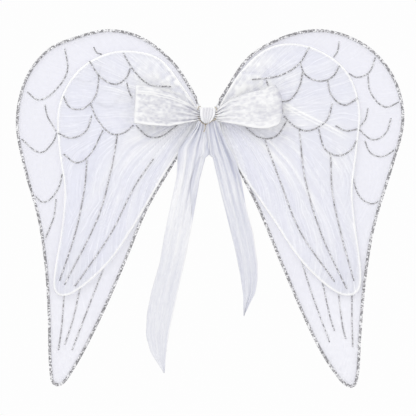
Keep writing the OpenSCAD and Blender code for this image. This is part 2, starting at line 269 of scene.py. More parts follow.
def spaced(points, step, closed=True):
    """The same line with points an even step apart."""
    line = np.vstack([points, points[:1]]) if closed else np.asarray(points, float)
    along = lengths(line)
    count = max(3, int(round(along[-1] / step)))
    at = np.linspace(0, along[-1], count, endpoint=not closed)
    return np.stack([np.interp(at, along, line[:, k]) for k in range(line.shape[1])], axis=1)


def relaxed(points, rounds):
    """A closed line with its small corners smoothed away, and its sharp ones kept."""
    ahead = np.roll(points, -1, 0) - points
    behind = points - np.roll(points, 1, 0)
    cosine = ((ahead * behind).sum(1) / np.linalg.norm(ahead, axis=1)
              / np.linalg.norm(behind, axis=1))
    soft = (cosine > SHARP_COSINE)[:, None]
    for _ in range(rounds):
        middle = (np.roll(points, 1, 0) + np.roll(points, -1, 0)) / 2
        points = np.where(soft, (points + middle) / 2, points)
    return points


def outward(points):
    """The outward direction at each point of a closed counter-clockwise line."""
    run = np.roll(points, -1, 0) - np.roll(points, 1, 0)
    run /= np.linalg.norm(run, axis=1)[:, None]
    return np.stack([run[:, 1], -run[:, 0]], axis=1)


def nearest_on(points, outline):
    """How far each (x, z) point is from a closed line, and the nearest spot on the line."""
    best, nearest = np.full(len(points), np.inf), points.copy()
    for a, b in zip(outline, np.roll(outline, -1, 0)):
        run = b - a
        part = np.clip((points - a) @ run / max(run @ run, TINY), 0, 1)[:, None]
        gap = np.hypot(*(points - a - part * run).T)
        closer = gap < best
        best[closer], nearest[closer] = gap[closer], (a + part * run)[closer]
    return best, nearest


def inside(points, outline):
    """Which (x, z) points lie inside a closed line."""
    found = np.zeros(len(points), bool)
    for a, b in zip(outline, np.roll(outline, -1, 0)):
        crosses = (a[1] > points[:, 1]) != (b[1] > points[:, 1])
        if a[1] == b[1]:
            continue
        at = (b[0] - a[0]) * (points[:, 1] - a[1]) / (b[1] - a[1]) + a[0]
        found ^= crosses & (points[:, 0] < at)
    return found


# %% Smooth random field
def field(u, v, seed):
    """A smooth random field from -1 to 1, the same each run."""
    def corner(i, j):
        mixed = np.sin(i * 127.1 + j * 311.7 + seed * 74.7) * 43758.5453
        return mixed - np.floor(mixed)

    u, v = np.asarray(u, float), np.asarray(v, float)
    i, j = np.floor(u), np.floor(v)
    a, b = u - i, v - j
    a, b = a * a * (3 - 2 * a), b * b * (3 - 2 * b)
    low = corner(i, j) * (1 - a) + corner(i + 1, j) * a
    high = corner(i, j + 1) * (1 - a) + corner(i + 1, j + 1) * a
    return 2 * (low * (1 - b) + high * b) - 1


def ease(t):
    """A smooth step from 0 to 1."""
    t = np.clip(t, 0, 1)
    return t * t * (3 - 2 * t)


# %% Meshes and pieces
def smooth(mesh):
    """Shades every face of a mesh smooth."""
    mesh.polygons.foreach_set("use_smooth", [True] * len(mesh.polygons))
    return mesh


def mesh_of(name, points, faces, uv=None, **marks):
    """A smooth mesh from arrays. Marks are numbers kept at each vertex."""
    made = bpy.data.meshes.new(name)
    made.from_pydata([tuple(p) for p in points], [], [tuple(int(i) for i in f) for f in faces])
    smooth(made)
    for key, values in marks.items():
        made.attributes.new(key, "FLOAT", "POINT").data.foreach_set(
            "value", np.asarray(values, np.float32))
    if uv is not None:
        corner = np.zeros(len(made.loops), int)
        made.loops.foreach_get("vertex_index", corner)
        made.uv_layers.new(name="cloth").data.foreach_set(
            "uv", np.asarray(uv, np.float32)[corner].ravel())
    made.update()
    return made


def grid_faces(rows, columns, wrap_rows=False, wrap_columns=False):
    """Quads over a grid of points, row by row."""
    r = np.arange(rows if wrap_rows else rows - 1)
    c = np.arange(columns if wrap_columns else columns - 1)
    r, c = (x.ravel() for x in np.meshgrid(r, c, indexing="ij"))
    r2, c2 = (r + 1) % rows, (c + 1) % columns
    return np.stack([r * columns + c, r * columns + c2, r2 * columns + c2, r2 * columns + c], 1)


def place(name, mesh, material, body, nodes=()):
    """Links a finished mesh as a piece that rides on a body and stands for CAD nodes."""
    made = linked(bpy.data.objects.new(name, mesh))
    if material:
        mesh.materials.append(material)
    if body:
        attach(made, body)
    if nodes:
        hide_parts(*nodes)
    print(f"{name}: {len(mesh.vertices)} points, {len(mesh.polygons)} faces")
    return made


def baked(thing):
    """The mesh of an object with its modifiers applied. The object itself is removed."""
    view = bpy.context.evaluated_depsgraph_get()
    made = bpy.data.meshes.new_from_object(thing.evaluated_get(view))
    bpy.data.objects.remove(thing)
    return made


def modified(mesh, kind, **settings):
    """The mesh that one modifier makes of a mesh."""
    holder = linked(bpy.data.objects.new("holder", mesh))
    modifier = holder.modifiers.new(kind.lower(), kind)
    for name, value in settings.items():
        setattr(modifier, name, value)
    return baked(holder)


def bar(rings, ends):
    """Points and faces of a closed skin over a stack of rings, with a middle point at each end."""
    count, sides = rings.shape[:2]
    last, after = (count - 1) * sides, [*range(1, sides), 0]
    faces = [list(f) for f in grid_faces(count, sides, wrap_columns=True)]
    faces += [[j, i, count * sides] for i, j in enumerate(after)]
    faces += [[last + i, last + j, count * sides + 1] for i, j in enumerate(after)]
    return np.vstack([rings.reshape(-1, 3), *(np.reshape(end, (1, 3)) for end in ends)]), faces


def squarish(wave, power):
    """A sine or cosine with its tops flattened, for a rounded-square section."""
    return np.sign(wave) * np.abs(wave) ** power


PLY_WAIST = 0.78


def plied(path, radius, twist, sides=12):
    """Points and faces of a twisted two-ply thread along a path."""
    path = np.asarray(path, float)
    run = np.gradient(path, axis=0)
    run /= np.linalg.norm(run, axis=1)[:, None]
    side = np.cross(run, [0, 1, 0])
    side /= np.maximum(np.linalg.norm(side, axis=1), 1e-9)[:, None]
    up = np.cross(side, run)
    turned = (twist * lengths(path))[:, None]
    turn = np.linspace(0, 2 * math.pi, sides, endpoint=False)[None, :] + turned
    size = radius * (PLY_WAIST + (1 - PLY_WAIST) * np.abs(np.cos(turn - turned)))
    rings = (path[:, None] + (size * np.cos(turn))[..., None] * side[:, None]
             + (size * np.sin(turn))[..., None] * up[:, None])
    return bar(rings, (path[0], path[-1]))


def outwards(mesh):
    """Turns every face of a closed mesh outwards."""
    made = bmesh.new()
    made.from_mesh(mesh)
    bmesh.ops.recalc_face_normals(made, faces=made.faces)
    made.to_mesh(mesh)
    made.free()
    return mesh


# %% [markdown]
# ## Finishes
# Each finish is a small node tree. Cloth patterns follow the piece's own UV map, laid out in
# metres, and patterns on wire and glue read object coordinates, so nothing slides.


# %% Finish helper
def finish(name, roughness, **levels):
    """A new material with its Principled shader, and plain levels set on the shader."""
    made = bpy.data.materials.new(name)
    made.use_nodes = True
    shader = made.node_tree.nodes["Principled BSDF"]
    shader.inputs["Roughness"].default_value = roughness
    for socket, value in levels.items():
        shader.inputs[socket.replace("_", " ")].default_value = value
    print("finish:", name)
    return made, made.node_tree, shader


def coloured(tree, shader, value, *stops):
    """Colours the shader by a ramp over a value, from (position, colour) stops."""
    made = add(tree, "ShaderNodeValToRGB", {"Fac": value})
    points = made.color_ramp.elements
    while len(points) < len(stops):
        points.new(0.5)
    for point, (at, colour) in zip(points, stops):
        point.position, point.color = at, (*colour, 1)
    tree.links.new(made.outputs["Color"], shader.inputs["Base Color"])


def bumped(tree, shader, height, strength, distance):
    """Puts a bump on the shader."""
    made = add(tree, "ShaderNodeBump", {"Height": height, "Strength": strength,
                                        "Distance": distance})
    tree.links.new(made.outputs["Normal"], shader.inputs["Normal"])


# A Wave texture draws 20 / (2 pi) bands in a metre for each unit of its scale.
WAVE_SCALE = math.pi / 10


def threads(tree, where, per_metre):
    """A plain weave: fine bands both ways over a pair of coordinates."""
    across, down = (add(tree, "ShaderNodeTexWave",
                        {"Vector": where, "Scale": per_metre * WAVE_SCALE, "Distortion": 0.3,
                         "Detail": 1.0}, bands_direction=way).outputs["Fac"] for way in "XY")
    return maths(tree, "MULTIPLY", across, down)


# %% Hair streaks
DOWNWARD_BEND, BEND_FROM = 2.6, 0.6
ROOT_OUT = abs(joint_place("left_wing_fold")[0])


def hair_streaks(tree, where):
    """Hair-thin creases that run out from a wing's root, from 0 to 1."""
    part = add(tree, "ShaderNodeSeparateXYZ", {"Vector": where}).outputs
    out = maths(tree, "SUBTRACT", maths(tree, "ABSOLUTE", part["X"]), ROOT_OUT)
    angle = maths(tree, "ARCTAN2", part["Z"], out)
    angle = maths(tree, "MULTIPLY_ADD", noise(tree, where, 14.0), 0.16, angle)
    flat = add(tree, "ShaderNodeCombineXYZ", {"X": out, "Y": part["Z"]}).outputs[0]
    far = add(tree, "ShaderNodeVectorMath", {0: flat}, operation="LENGTH").outputs["Value"]
    bend = spread(tree, angle, 0.0, DOWNWARD_BEND, 0.0, -BEND_FROM)
    angle = maths(tree, "MULTIPLY_ADD", bend, far, angle)
    polar = add(tree, "ShaderNodeCombineXYZ", {"X": angle, "Y": far,
                                               "Z": maths(tree, "SIGN", part["X"])}).outputs[0]
    long = mapped(tree, polar, Scale=(62, 15, 5))
    return spread(tree, noise(tree, long, 1.0, Detail=4.0, Roughness=0.7), 0, 1, 0.52, 0.70)


# %% Stocking net
THREADS_PER_METRE = {"net": 1500, "satin": 3000, "tape": 2200}


def net_finish(name, open_colour, dense_colour, open_cover, dense_cover, streaks):
    """Sheer net that is whiter and less clear where it is gathered."""
    made, tree, shader = finish(name, 0.6, Sheen_Weight=0.25, Sheen_Roughness=0.4)
    where = on_object(tree)
    cloud = spread(tree, noise(tree, where, 55.0, Detail=4.0), -0.14, 0.14)
    amount = maths(tree, "ADD", mark(tree, "gather"), cloud)
    amount = maths(tree, "MULTIPLY_ADD", hair_streaks(tree, where), streaks, amount,
                   use_clamp=True)
    coloured(tree, shader, amount, (0.0, open_colour), (1.0, dense_colour))
    upright = mapped(tree, where, Rotation=(math.pi / 2, 0, 0.2))
    weave = threads(tree, upright, THREADS_PER_METRE["net"])
    cover = maths(tree, "MULTIPLY", spread(tree, amount, open_cover, dense_cover),
                  spread(tree, weave, 1.06, 0.9), use_clamp=True)
    tree.links.new(cover, shader.inputs["Alpha"])
    bumped(tree, shader, weave, 0.15, 0.0002)
    return made


outer_net_finish = net_finish("outer net", (0.78, 0.78, 0.875), (0.96, 0.96, 1.0), 0.34,
                              0.76, 0.12)
inner_net_finish = net_finish("inner net", (0.87, 0.88, 0.98), (1.0, 1.0, 1.0), 0.33,
                              0.92, 0.31)

# %% [markdown]
# ## Stocking nets
# Each wing is a stocking leg pulled over its wire and gathered at the root. It is a closed bag:
# two layers a wire's thickness apart at the rim that nearly touch in the middle. The gathers run
# out from the root, so the creases are a random field over angle and distance from there. A
# triangle sheet cut to the wire's outline takes them. The function that gives its height later
# lays the glitter lines on the net.

# %% Wing outlines
WINGS = {}
NECK_REACH, NECK_HALF = 2.4 * MM, 4.2 * MM
for side, sign in SIDES.items():
    root = Vector(joint_place(f"{side}_wing_fold"))
    for panel in ("outer", "inner"):
        low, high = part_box(f"{side}_{panel}_net")
        half = (high.y - low.y) / 2
        line = face_outline(f"{side}_{panel}_net")
        if panel == "inner":
            mouth = np.abs(line[:, 0]).min()
            at_mouth = np.abs(np.abs(line[:, 0]) - mouth) < 1e-5
            drop = np.abs(np.roll(line[:, 1], -1) - line[:, 1]) * at_mouth * np.roll(at_mouth, -1)
            line = np.roll(line, -int(np.argmax(drop)) - 1, 0)
            neck = [(root.x + sign * NECK_REACH, math.copysign(NECK_HALF, line[k, 1]))
                    for k in (-1, 0)]
            line = np.vstack([line, neck])
        line = relaxed(spaced(line, 2 * MM), 6)
        rim = line - outward(line) * half
        WINGS[side, panel] = {"root": root, "sign": sign, "half": half,
                              "plane": (low.y + high.y) / 2, "rim": rim, "skin": line}
        print(side, panel, len(line), "outline points")


# %% Crease patterns
NET_SEED = {-1: 11, 1: 37}
LONG_CREASE_START, LONG_CREASE_WAY = np.array([92.0, 15.0]) * MM, np.array([0.893, -0.450])
LONG_CREASE = 105 * MM


def long_crease(x, z):
    """The pair of straight creases that runs out and down over the right inner wing."""
    along, down = LONG_CREASE_WAY
    right, up = x - LONG_CREASE_START[0], z - LONG_CREASE_START[1]
    run = right * along + up * down
    off = right * down - up * along + 1.2 * MM * field(run / 0.03, run * 0, 7)
    held = ease(run / (10 * MM)) * ease((LONG_CREASE - run) / (40 * MM))
    return held * (np.exp(-(off / (1.3 * MM)) ** 2) + 0.7 * np.exp(-((off - 4 * MM) / MM) ** 2))


def creases(wing, panel, x, z):
    """Height of the creases from -1 to 1, and how gathered the net is from 0 to 1."""
    out, up = (x - wing["root"].x) * wing["sign"], z
    far, straight = np.hypot(out, up), np.arctan2(up, out)
    seed = NET_SEED[wing["sign"]]
    angle = straight + DOWNWARD_BEND * far * ease(-straight / BEND_FROM)
    angle = angle + 0.05 * field(far / 0.05, angle * 2, seed)
    broad = field(angle * 9, far / 0.16, seed + 1)
    middle = field(angle * 21, far / 0.13, seed + 2)
    fine = field(angle * 44, far / 0.10, seed + 3)
    specks = field(x / 0.0045, z / 0.0045, seed + 5)
    if panel == "outer":
        strength = 0.12 + 0.3 * np.exp(-far / 0.08)
        tip = ease((far - 0.19) / 0.13)
        height = strength * (0.5 * broad + 0.3 * middle + 0.2 * fine)
        return height, np.clip(0.22 + 0.50 * tip + height + 0.06 * specks, 0, 1)
    crumple = field(x / 0.011 + 3 * field(z / 0.02, x / 0.02, 5), z / 0.008, seed + 4)
    low_side = ease((-straight - 0.1) / 0.5)
    strength = 0.25 + 0.55 * low_side * np.exp(-far / 0.30) + 0.5 * np.exp(-far / 0.07)
    near = np.exp(-((far - 0.05) / 0.045) ** 2) * (1 - low_side)
    streak = 0.35 * broad + 0.4 * middle + 0.35 * fine
    thread = (1 - np.abs(fine)) ** 6 * (0.5 + 0.5 * middle)
    patch = np.exp(-((straight + 0.60) / 0.13) ** 2 - ((far - 0.085) / 0.042) ** 2)
    height = strength * streak + 0.7 * near * crumple
    gather = (0.26 + 0.5 * strength * streak + 0.55 * strength * thread
              + near * (0.40 + 0.45 * crumple + 0.30 * specks) + patch * (0.25 + 0.3 * fine))
    if wing["sign"] > 0:
        crease = long_crease(x, z)
        gather, height = gather + 0.6 * crease, height + 0.8 * crease
    return height, np.clip(gather, 0, 1)


# %% Height of a net's layers
SAG_REACH = {"outer": 7 * MM, "inner": 6 * MM}
LEVEL = {"outer": 0.55 * MM, "inner": 0.75 * MM}
CREASE = {"outer": 0.5 * MM, "inner": 0.75 * MM}
LEAST_RISE, HELD_AT_RIM, RIM_GATHER = 0.25 * MM, 5 * MM, 1.15 * MM


def lift(wing, panel, points):
    """How far a net's front layer stands off its wire's plane, and its gather."""
    off, _ = nearest_on(points, wing["rim"])
    height, gather = creases(wing, panel, points[:, 0], points[:, 1])
    near_rim = np.exp(-off / SAG_REACH[panel])
    free = 1 - np.exp(-off / HELD_AT_RIM)
    rise = LEVEL[panel] + (wing["half"] - LEVEL[panel]) * near_rim + CREASE[panel] * height * free
    if panel == "inner":
        gather = gather + 0.8 * np.exp(-(off / RIM_GATHER) ** 2)
    return np.maximum(rise, LEAST_RISE), np.clip(gather, 0, 1)


# %% Triangle sheet
ROW_STEP, CLEAR_OF_RIM = 0.866, 0.7


def rim_sheet(rim, spacing):
    """Points and triangles inside a closed line, and which points lie on the line."""
    low, high = rim.min(0), rim.max(0)
    rows = []
    for k, z in enumerate(np.arange(low[1], high[1], spacing * ROW_STEP)):
        x = np.arange(low[0] + (k % 2) * spacing / 2, high[0], spacing)
        rows.append(np.stack([x, np.full(len(x), z)], 1))
    inner = np.vstack(rows)
    inner = inner[inside(inner, rim)]
    inner = inner[nearest_on(inner, rim)[0] > CLEAR_OF_RIM * spacing]
    flat, _, faces, came, _, _ = geometry.delaunay_2d_cdt(
        [Vector(p) for p in np.vstack([rim, inner])], [], [list(range(len(rim)))], 1, 1e-7)
    flat, faces = np.array([tuple(p) for p in flat]), np.array([tuple(f) for f in faces])
    a, b, c = (flat[faces[:, k]] for k in range(3))
    turn = (b[:, 0] - a[:, 0]) * (c[:, 1] - a[:, 1]) - (b[:, 1] - a[:, 1]) * (c[:, 0] - a[:, 0])
    faces[turn < 0] = faces[turn < 0][:, ::-1]
    place_of = {source: k for k, sources in enumerate(came) for source in sources}
    return flat, faces, np.array([place_of[k] for k in range(len(rim))])


# %% Net bag
BACK_SHIFT = Vector((0, 0, 0.004))


def net_bag(side, panel, spacing, rim_steps=6):
    """Two creased layers of net, closed by a rounded rim that follows the wire."""
    wing = WINGS[side, panel]
    rim, half, plane = wing["rim"], wing["half"], wing["plane"]
    flat, faces, edge = rim_sheet(rim, spacing)
    rise, gather = lift(wing, panel, flat)
    fall, back_gather = lift(dict(wing, root=wing["root"] + BACK_SHIFT), panel, flat)
    rise[edge], fall[edge] = half, half
    count, around, away = len(flat), len(rim), outward(rim)
    points = [np.stack([flat[:, 0], plane - rise, flat[:, 1]], 1),
              np.stack([flat[:, 0], plane + fall, flat[:, 1]], 1)]
    rings = [edge]
    for k in range(1, rim_steps):
        turn = -math.pi / 2 + math.pi * k / rim_steps
        at = rim + away * half * math.cos(turn)
        points.append(np.insert(at, 1, plane + half * math.sin(turn), axis=1))
        rings.append(2 * count + (k - 1) * around + np.arange(around))
    rings.append(edge + count)
    sides = [(this[i], after[i], after[j], this[j]) for this, after in zip(rings, rings[1:])
             for i, j in enumerate([*range(1, around), 0])]
    gathers = [gather, back_gather] + [gather[edge]] * (rim_steps - 1)
    return outwards(mesh_of(f"{side}_{panel}_net", np.vstack(points),
                            [*faces, *(faces[:, ::-1] + count), *sides],
                            gather=np.concatenate(gathers)))


def area_of(mesh):
    """The area of a mesh, both faces of a cloth counted."""
    return sum(f.area for f in mesh.polygons)


# %% Make the four nets
NET_SPACING = {"outer": 2.4 * MM, "inner": 1.5 * MM}
NET_FINISH = {"outer": outer_net_finish, "inner": inner_net_finish}
for (side, panel), wing in WINGS.items():
    mesh = net_bag(side, panel, NET_SPACING[panel])
    bag = place(f"{side}_{panel}_stocking", mesh, NET_FINISH[panel], f"{side}_{panel}_wing",
                [f"{side}_{panel}_net"])

# %% [markdown]
# ## Wire
# The wires are plastic-coated and smooth. Their CAD shape is right, so each is copied, its
# triangles joined, and shaded smooth with only its cut ends left sharp.

# %% Wire and sleeve finishes
wire_finish, tree, shader = finish("coated wire", 0.32, Coat_Weight=0.3)
dust = noise(tree, on_object(tree), 320.0, Detail=3.0)
coloured(tree, shader, dust, (0.35, (0.86, 0.86, 0.88)), (0.65, (0.94, 0.94, 0.95)))
bumped(tree, shader, dust, 0.1, 0.0002)

sleeve_finish, tree, shader = finish("crimped aluminium", 0.35, Metallic=1.0)
drawn = noise(tree, mapped(tree, on_object(tree), Scale=(1, 1, 0.05)), 900.0)
coloured(tree, shader, drawn, (0.3, (0.55, 0.55, 0.57)), (0.7, (0.82, 0.82, 0.84)))
bumped(tree, shader, drawn, 0.2, 0.0001)


# %% Smooth copies of the wires
WIRE_SHARP, SLEEVE_SHARP = 62, 40


def smooth_copy(node, sharp_degrees):
    """A CAD node's mesh, shaded smooth but for its sharp edges."""
    mesh = smooth(fresh_mesh(merged(node), node))
    mesh.set_sharp_from_angle(angle=math.radians(sharp_degrees))
    return mesh


for side in SIDES:
    for panel in ("outer", "inner"):
        place(f"{side}_{panel}_wire", smooth_copy(f"{side}_{panel}_frame", WIRE_SHARP), wire_finish,
              f"{side}_{panel}_wing", [f"{side}_{panel}_frame"])
    place(f"{side}_crimp_sleeve", smooth_copy(f"{side}_wire_joiner", SLEEVE_SHARP), sleeve_finish,
          f"{side}_outer_wing", [f"{side}_wire_joiner"])

# %% [markdown]
# ## Glitter
# Glitter glue dries as a low clear bead full of metal flakes. The bead is a copy of the CAD line,
# its edges bevelled, cut into short faces, drawn in a little and laid on the net with the net's
# own height function. The flakes repeat by the thousand, so Geometry Nodes scatters them: a tiny
# hexagon at each random point, tilted at random, with a random tone that the finish reads.

# %% Glue and flake finishes
def voronoi(tree, where, scale):
    """A cell pattern: a random value for each cell, and the distance from its middle."""
    cells = add(tree, "ShaderNodeTexVoronoi", {"Vector": where, "Scale": scale}).outputs
    return (add(tree, "ShaderNodeSeparateColor", {"Color": cells["Color"]}).outputs[0],
            cells["Distance"])


glue_finish, tree, shader = finish("glitter glue", 0.3, Coat_Weight=0.4)
grit, from_middle = voronoi(tree, on_object(tree), 600.0)
coloured(tree, shader, grit, (0.2, (0.28, 0.275, 0.29)), (0.55, (0.56, 0.55, 0.58)),
         (0.8, (0.90, 0.90, 0.92)))
bumped(tree, shader, from_middle, 0.5, 0.0003)
CLUMP_SHARE = 0.72


def flakes_of(name, darkest, dark, grey, clump_scale):
    """Silver flakes whose tone is partly each flake's own and partly its clump's."""
    made, tree, shader = finish(name, 0.28, Metallic=0.35)
    where = on_object(tree)
    clump = maths(tree, "MULTIPLY", voronoi(tree, where, clump_scale)[0], CLUMP_SHARE)
    tone = maths(tree, "MULTIPLY_ADD", mark(tree, "tone"), 1 - CLUMP_SHARE, clump)
    coloured(tree, shader, tone, (0.28, (darkest,) * 3), (0.52, (dark,) * 3),
             (0.64, (grey, grey, grey * 1.04)), (0.82, (1.0, 1.0, 1.0)))
    bumped(tree, shader, noise(tree, where, 2200.0), 0.2, 0.0001)
    return made


edge_flakes = flakes_of("silver edge flakes", 0.007, 0.045, 0.30, 600.0)
line_flakes = flakes_of("silver line flakes", 0.17, 0.42, 0.74, 1050.0)

# %% Node trees that lay a small shape many times
def tree_group(name, result, **sockets):
    """A new Geometry Nodes tree and its inputs. An underscore stands for a space."""
    tree = bpy.data.node_groups.new(name, "GeometryNodeTree")
    for socket, kind in sockets.items():
        tree.interface.new_socket(socket.replace("_", " "), in_out="INPUT",
                                  socket_type=f"NodeSocket{kind}")
    tree.interface.new_socket(result, in_out="OUTPUT", socket_type="NodeSocketGeometry")
    return tree, tree.nodes.new("NodeGroupInput").outputs


def delivered(tree, instances, material):
    """Makes the instances real, gives them their finish and hands them out."""
    real = add(tree, "GeometryNodeRealizeInstances", {"Geometry": instances})
    done = add(tree, "GeometryNodeSetMaterial", {"Geometry": real.outputs["Geometry"],
                                                 "Material": material})
    tree.links.new(done.outputs["Geometry"], tree.nodes.new("NodeGroupOutput").inputs[0])
    return tree


def grown(mesh, tree, **levels):
    """The plain mesh that a Geometry Nodes tree grows on a mesh."""
    holder = linked(bpy.data.objects.new("holder", mesh))
    grower = holder.modifiers.new("grow", "NODES")
    grower.node_group = tree
    names = {s.name: s.identifier for s in tree.interface.items_tree if s.in_out == "INPUT"}
    for name, value in levels.items():
        grower[names[name.replace("_", " ")]] = value
    return baked(holder)


# %% The flake tree
HALF_TURN = 3.14


def flake_tree():
    """Scatters tilted hexagonal flakes over a surface."""
    tree, given = tree_group("scatter flakes", "Flakes", Surface="Geometry",
                             Flakes_per_square_metre="Float", Flake_radius="Float",
                             Most_tilt="Float", Seed="Int", Finish="Material")
    seed, tilt = given["Seed"], given["Most tilt"]
    sown = add(tree, "GeometryNodeDistributePointsOnFaces",
               {"Mesh": given["Surface"], "Density": given["Flakes per square metre"],
                "Seed": seed})
    flake = add(tree, "GeometryNodeMeshCircle", {"Vertices": 6, "Radius": given["Flake radius"]},
                fill_type="NGON")
    least = maths(tree, "MULTIPLY", tilt, -1.0)
    low, high = (add(tree, "ShaderNodeCombineXYZ", {"X": t, "Y": t, "Z": z}).outputs[0]
                 for t, z in ((least, -HALF_TURN), (tilt, HALF_TURN)))
    lean = add(tree, "FunctionNodeRandomValue", {"Min": low, "Max": high, "Seed": seed},
               data_type="FLOAT_VECTOR")
    as_turn = add(tree, "FunctionNodeEulerToRotation", {"Euler": lean.outputs[0]})
    turned = add(tree, "FunctionNodeRotateRotation",
                 {"Rotation": sown.outputs["Rotation"], "Rotate By": as_turn.outputs[0]},
                 rotation_space="LOCAL")
    size, tone = (add(tree, "FunctionNodeRandomValue", {2: least, 3: most, "Seed": seed},
                      data_type="FLOAT").outputs[1] for least, most in ((0.6, 1.25), (0.0, 1.0)))
    laid = add(tree, "GeometryNodeInstanceOnPoints",
               {"Points": sown.outputs["Points"], "Instance": flake.outputs["Mesh"],
                "Rotation": turned.outputs[0], "Scale": size})
    toned = add(tree, "GeometryNodeStoreNamedAttribute",
                {"Geometry": laid.outputs["Instances"], "Name": "tone", "Value": tone},
                data_type="FLOAT", domain="INSTANCE")
    return delivered(tree, toned.outputs["Geometry"], given["Finish"])


FLAKES = flake_tree()
print("flake tree:", len(FLAKES.nodes), "nodes")

# %% Beads laid on the net
LONGEST_FACE, EDGE_ANGLE, ON_NET = 2.5 * MM, math.radians(50), 0.12 * MM


def bead(node, lay, bevel):
    """A bevelled, finely cut copy of a CAD glitter node, moved by lay(points) in depth."""
    mesh = modified(fresh_mesh(merged(node), node), "BEVEL", width=bevel, segments=2,
                    limit_method="ANGLE", angle_limit=EDGE_ANGLE)
    made = bmesh.new()
    made.from_mesh(mesh)
    for _ in range(3):
        cut = [e for e in made.edges if e.calc_length() > LONGEST_FACE]
        if cut:
            bmesh.ops.subdivide_edges(made, edges=cut, cuts=1)
            bmesh.ops.triangulate(made, faces=made.faces)
    made.verts.ensure_lookup_table()
    shift = lay(np.array([v.co for v in made.verts]))
    for v, s in zip(made.verts, shift):
        v.co.y += s
    made.to_mesh(mesh)
    made.free()
    return smooth(mesh)


def on_net(side, panel):
    """How far each point of a line is moved in depth to lie on the net."""
    wing, front = WINGS[side, panel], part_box(f"{side}_{panel}_net")[0].y

    def lay(points):
        rise, _ = lift(wing, panel, points[:, [0, 2]])
        return wing["plane"] - rise - front + ON_NET
    return lay


def moved_to(mesh, points):
    """The same mesh with its vertices at new points."""
    mesh.vertices.foreach_set("co", points.ravel())
    mesh.update()
    return mesh


def slimmed(mesh, rim):
    """Draws the edge bead in towards the wire's centre line, mostly from the inner side."""
    points = np.array([v.co for v in mesh.vertices])
    flat = points[:, [0, 2]]
    _, nearest = nearest_on(flat, rim)
    keep = np.where(inside(flat, rim), EDGE_KEPT_INSIDE, EDGE_KEPT_OUTSIDE)[:, None]
    points[:, [0, 2]] = nearest + (flat - nearest) * keep
    return moved_to(mesh, points)


def narrowed(mesh, by):
    """Draws the sides of a line's bead in by a distance."""
    points = np.array([v.co for v in mesh.vertices])
    normals = np.array([v.normal for v in mesh.vertices])
    points[:, [0, 2]] -= by * normals[:, [0, 2]]
    return moved_to(mesh, points)


def jagged(points):
    """Small dents and lumps for a bead squeezed out by hand."""
    return 0.14 * MM * field(points[:, 0] / 0.0016, points[:, 2] / 0.0016, 71)


# %% Make the glitter
EDGE_BEVEL, LINE_BEVEL = 0.5 * MM, 0.3 * MM
EDGE_KEPT_INSIDE, EDGE_KEPT_OUTSIDE, LINE_DRAWN_IN = 0.48, 0.90, 0.38 * MM
FLAKE_RADIUS, LINE_FLAKE_RADIUS, FLAKES_TILT, FLAKES_PER_M2 = 0.28 * MM, 0.224 * MM, 0.6, 2.0e6


def glittered(name, glue, node, body, radius, seed, material):
    """A bead of glue and the flakes in it, as two pieces."""
    flakes = grown(glue.copy(), FLAKES, Flakes_per_square_metre=FLAKES_PER_M2,
                   Flake_radius=radius, Most_tilt=FLAKES_TILT, Seed=seed, Finish=material)
    place(f"{name}_glue", glue, glue_finish, body, [node])
    place(f"{name}_flakes", flakes, None, body)


for number, side in enumerate(SIDES):
    node = f"{side}_glitter_edge"
    glittered(f"{side}_edge", slimmed(bead(node, jagged, EDGE_BEVEL), WINGS[side, "outer"]["rim"]),
              node, f"{side}_outer_wing", FLAKE_RADIUS, number, edge_flakes)
    for panel in ("outer", "inner"):
        node = f"{side}_{panel}_glitter"
        drawn = narrowed(bead(node, on_net(side, panel), LINE_BEVEL), LINE_DRAWN_IN)
        glittered(f"{side}_{panel}_line", drawn, node, f"{side}_{panel}_wing",
                  LINE_FLAKE_RADIUS, 10 + number, line_flakes)

# %% [markdown]
# ## Satin ribbon
# The bow is crinkled satin ribbon. A ribbon is a long strip, so each part is a grid of points, one
# way along the strip and one way across it. Pleats start at the knot and die away, crinkles are a
# random field, and a Solidify modifier gives it its thickness. Its weave and its fine crinkles
# follow the strip's own UV map in metres.
# The light and shade of its folds, pleats and edges are painted into its colour: a number kept at
# each vertex runs each satin from a painted shade colour to a painted highlight colour.

# %% Ribbon finish
RIBBON_WIDTH = 46 * MM


def ribbon_finish(name, shaded_colour, lit_colour, crinkle):
    """Satin coloured from a painted shade to a painted highlight on its folds, with fine crinkles.
    """
    made, tree, shader = finish(name, 0.42, Sheen_Weight=0.35, Sheen_Roughness=0.35)
    uv = on_cloth(tree)
    blot = noise(tree, mapped(tree, uv, Scale=(0.35, 1, 1)), 230.0, Detail=5.0, Roughness=0.62,
                 Distortion=1.6)
    # The painted light and shade kept at each vertex, with random crinkle blotches on top, sets the
    # colour.
    mixed = maths(tree, "MULTIPLY_ADD", blot, crinkle, mark(tree, "fold"))
    between = tuple((a + b) / 2 for a, b in zip(shaded_colour, lit_colour))
    coloured(tree, shader, mixed, (0.18, shaded_colour), (0.5, between), (0.82, lit_colour))
    weave = threads(tree, uv, THREADS_PER_METRE["satin"])
    bumped(tree, shader, maths(tree, "MULTIPLY_ADD", blot, 0.6, weave), 0.35, 0.0004)
    tree.links.new(spread(tree, blot, 0.32, 0.58), shader.inputs["Roughness"])
    return made


# Each satin's first colour is its painted shade and its second its painted highlight.
loop_finish = ribbon_finish("crinkled satin", (0.53, 0.53, 0.61), (0.94, 0.94, 0.95), 0.85)
knot_finish = ribbon_finish("knotted satin", (0.72, 0.715, 0.76), (0.99, 0.99, 1.0), 0.4)
tail_finish = ribbon_finish("smooth satin", (0.62, 0.635, 0.74), (0.94, 0.94, 0.96), 0.42)


